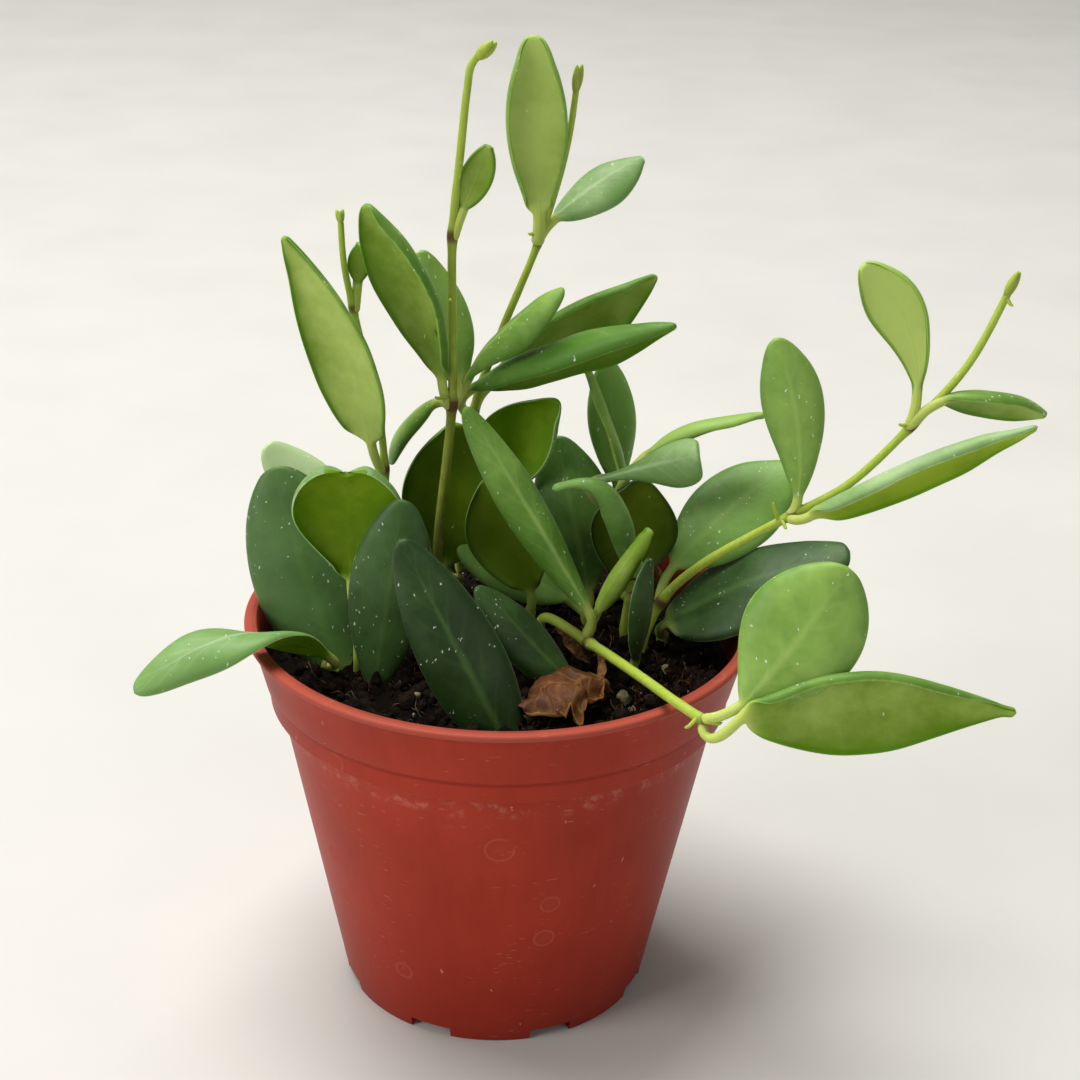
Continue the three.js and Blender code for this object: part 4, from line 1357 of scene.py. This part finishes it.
# ---------- soil ----------
def soil_piece():
    """The filling, its top heaped in clods."""
    p, wall = POT, POT["wall"] + SOIL["wall_gap"]
    bottom = p["channel_height"] + p["floor"] + SOIL["clearance"]
    top_radius = p["step_radius"] - wall + SOIL["top_out"]
    step = p["height"] - p["step_drop"]
    profile = [
        (0, bottom),
        (p["foot_radius"] - wall + SOIL["foot_out"], bottom),
        (p["body_top_radius"] - wall, p["height"] - p["band_drop"] - p["shoulder_drop"]),
        (p["band_foot_radius"] - wall - SOIL["waist_in"], p["height"] - p["band_drop"]),
        (top_radius - SOIL["step_in"], step),
        (top_radius, SOIL["level"] - SOIL["edge_drop"]),
    ]
    rings = SOIL["rings"]
    profile += [(top_radius * (1 - i / rings) - SOIL["top_out"], SOIL["level"]) for i in range(rings)]
    profile.append((0, SOIL["level"]))
    bm = spun(profile, SOIL["sides"])
    for vert in bm.verts:
        if vert.co.z > SOIL["level"] - 0.01:
            x, y = vert.co.x, vert.co.y
            inward = ease((top_radius - math.hypot(x, y)) / SOIL["edge_width"])
            vert.co.z = lerp(SOIL["level"] - SOIL["edge_drop"], soil_height(x, y), inward)
            vert.co += noise.noise_vector(Vector((x, y, 0)) * 0.9) * SOIL["grain"] * inward
    finish_piece(bm, "potting_soil", [peat], "potting_soil", "soil")


def scattered(count, seed, reach):
    """Random places on the soil, as (x, y, the random numbers to go on with)."""
    random_from = random.Random(seed)
    for _ in range(count):
        angle = random_from.uniform(0, 2 * math.pi)
        out = math.sqrt(random_from.random()) * reach
        yield out * math.cos(angle), out * math.sin(angle), random_from


def add_lump(bm, place, size, random_from, subdivisions=2, squash=0.75):
    """Adds one irregular crumb."""
    turn = Euler([random_from.uniform(*ANY_ANGLE) for _ in range(3)]).to_matrix().to_4x4()
    shape = Matrix.Diagonal((size, size * random_from.uniform(0.6, 1), size * squash, 1))
    ball = bmesh.ops.create_icosphere(bm, subdivisions=subdivisions, radius=1, matrix=turn @ shape)
    offset = Vector([random_from.uniform(0, 99) for _ in range(3)])
    for vert in ball["verts"]:
        dent = noise.noise_vector(vert.co / size * SOIL["lump"]["dents"] + offset)
        vert.co += dent * size * SOIL["lump"]["dent"]
        vert.co += Vector(place)


def pour_in(bm, heap):
    """Adds a small heap to a shape. Working in small heaps is much quicker than in one large one."""
    mesh = bpy.data.meshes.new("heap")
    heap.to_mesh(mesh)
    heap.free()
    bm.from_mesh(mesh)
    bpy.data.meshes.remove(mesh)


def soil_crumbs():
    """Loose crumbs on the soil, few of them large."""
    bm = bmesh.new()
    crumb = SOIL["crumb"]
    for seed in range(SOIL["crumb_heaps"]):
        heap = bmesh.new()
        for x, y, random_from in scattered(SOIL["heap"], seed + 5, SOIL["reach"]):
            size = random_from.uniform(0.3, 1.0) ** crumb["rarity"] * crumb["extra"] + crumb["least"]
            place = (x, y, soil_height(x, y) + size * 0.15)
            add_lump(heap, place, size, random_from, 2 if size > crumb["finer_from"] else 1)
        pour_in(bm, heap)
    finish_piece(bm, "soil_crumbs", [peat_crumb], "potting_soil")


def soil_grit():
    bm = bmesh.new()
    random_from = random.Random(8)
    for x, y, size in SOIL["grit"]:
        add_lump(bm, (x, y, soil_height(x, y) + size * 0.4), size, random_from, 3)
    for x, y, random_from in scattered(SOIL["grit_count"], 9, SOIL["reach"]):
        size = random_from.uniform(0.25, 0.7)
        add_lump(bm, (x, y, soil_height(x, y) + size * 0.5), size, random_from)
    finish_piece(bm, "soil_grit", [grit], "potting_soil")


def add_shred(bm, x, y, random_from, shortest, longest, highest):
    """Adds one crooked fibre that lies on the soil and stands up in its middle."""
    heading, length = random_from.uniform(*ANY_ANGLE), random_from.uniform(shortest, longest)
    line = []
    for i in range(5):
        heading += random_from.uniform(-0.7, 0.7)
        lift = 0.25 + math.sin(math.pi * i / 4) * random_from.uniform(0, highest)
        line.append(Vector((x, y, soil_height(x, y) + lift)))
        x += math.cos(heading) * length / 4
        y += math.sin(heading) * length / 4
    thick = random_from.uniform(0.08, 0.2)
    tube(bm, line, lambda point, share: thick * (1 - 0.6 * share), 4)


def soil_fibres():
    bm = bmesh.new()
    for x, y, random_from in scattered(SOIL["fibres"], 21, SOIL["reach"] - 3):
        add_shred(bm, x, y, random_from, **SOIL["fibre"])
    finish_piece(bm, "soil_fibres", [fibre], "potting_soil")


def soil_husk():
    """Tufts of brown husk: short shreds and lumps in a heap."""
    bm = bmesh.new()
    for at_x, at_y, spread, count in SOIL["husk"]:
        for x, y, random_from in scattered(count, count, spread):
            x, y = at_x + x, at_y + y
            add_shred(bm, x, y, random_from, **SOIL["shred"])
            add_lump(bm, (x, y, soil_height(x, y) + 0.3), random_from.uniform(0.3, 0.8), random_from, 1)
    finish_piece(bm, "soil_husk", [husk], "potting_soil")


def withered_bits():
    """The dried tail of the dead leaf, and the dried stalks that stand beside the runner."""
    bm = bmesh.new()
    for points, thick, flatness in SOIL["dried"]:
        line = evenly_spaced(smooth_line(points), 0.8)
        verts = tube(bm, line, lambda point, share: thick * (0.45 + 0.55 * math.sin(math.pi * share)), 12,
                     flatness=flatness)
        for vert in verts:
            vert.co += noise.noise_vector(vert.co * 0.5) * thick * 0.6
    finish_piece(bm, "withered_bits", [withered_skin], "withered_leaf", finer=1)


soil_piece()
soil_crumbs()
soil_grit()
soil_fibres()
soil_husk()
withered_bits()


# ---------- floor, lights and camera ----------
def floor_piece():
    bm = bmesh.new()
    bmesh.ops.create_circle(bm, cap_ends=True, segments=96, radius=FLOOR_RADIUS)
    finish_piece(bm, "pale_floor", [floor_material()], stage=True)


def aim(thing, place, target):
    """Puts a lamp at a place in millimetres, looking at a target."""
    thing.location = Vector(place) * MM
    thing.rotation_euler = (Vector(target) - Vector(place)).to_track_quat("-Z", "Y").to_euler()


def light_the_scene():
    for name, (place, target, size, watts, tone) in LAMPS.items():
        data = bpy.data.lights.new(name, "AREA")
        data.shape = "SQUARE"
        data.size = size * MM
        data.energy = watts
        data.color = tone
        lamp = bpy.data.objects.new(name, data)
        bpy.context.scene.collection.objects.link(lamp)
        aim(lamp, place, target)
    world = bpy.data.worlds.new("soft_sky")
    world.use_nodes = True
    sky, strength = WORLD_LIGHT
    world.node_tree.nodes["Background"].inputs["Color"].default_value = colour(sky)
    world.node_tree.nodes["Background"].inputs["Strength"].default_value = strength
    bpy.context.scene.world = world


def put_camera():
    """The camera looks down on the plant from the front, turned by its roll."""
    elevation = math.radians(CAMERA["elevation"])
    back = Vector((0, -math.cos(elevation), math.sin(elevation)))
    right = Matrix.Rotation(math.radians(CAMERA["roll"]), 3, back) @ Vector((1, 0, 0))
    up = back.cross(right)
    place = (Vector(CAMERA["target"]) + back * CAMERA["distance"]) * MM
    data = bpy.data.cameras.new("studio_camera")
    data.lens = CAMERA["lens"]
    data.clip_start, data.clip_end = 0.01, 20
    camera = bpy.data.objects.new("studio_camera", data)
    bpy.context.scene.collection.objects.link(camera)
    turned = Matrix((right, up, back)).transposed()
    camera.matrix_world = Matrix.Translation(place) @ turned.to_4x4()
    bpy.context.scene.camera = camera


floor_piece()
light_the_scene()
put_camera()
bpy.context.scene.view_settings.view_transform = "Standard"
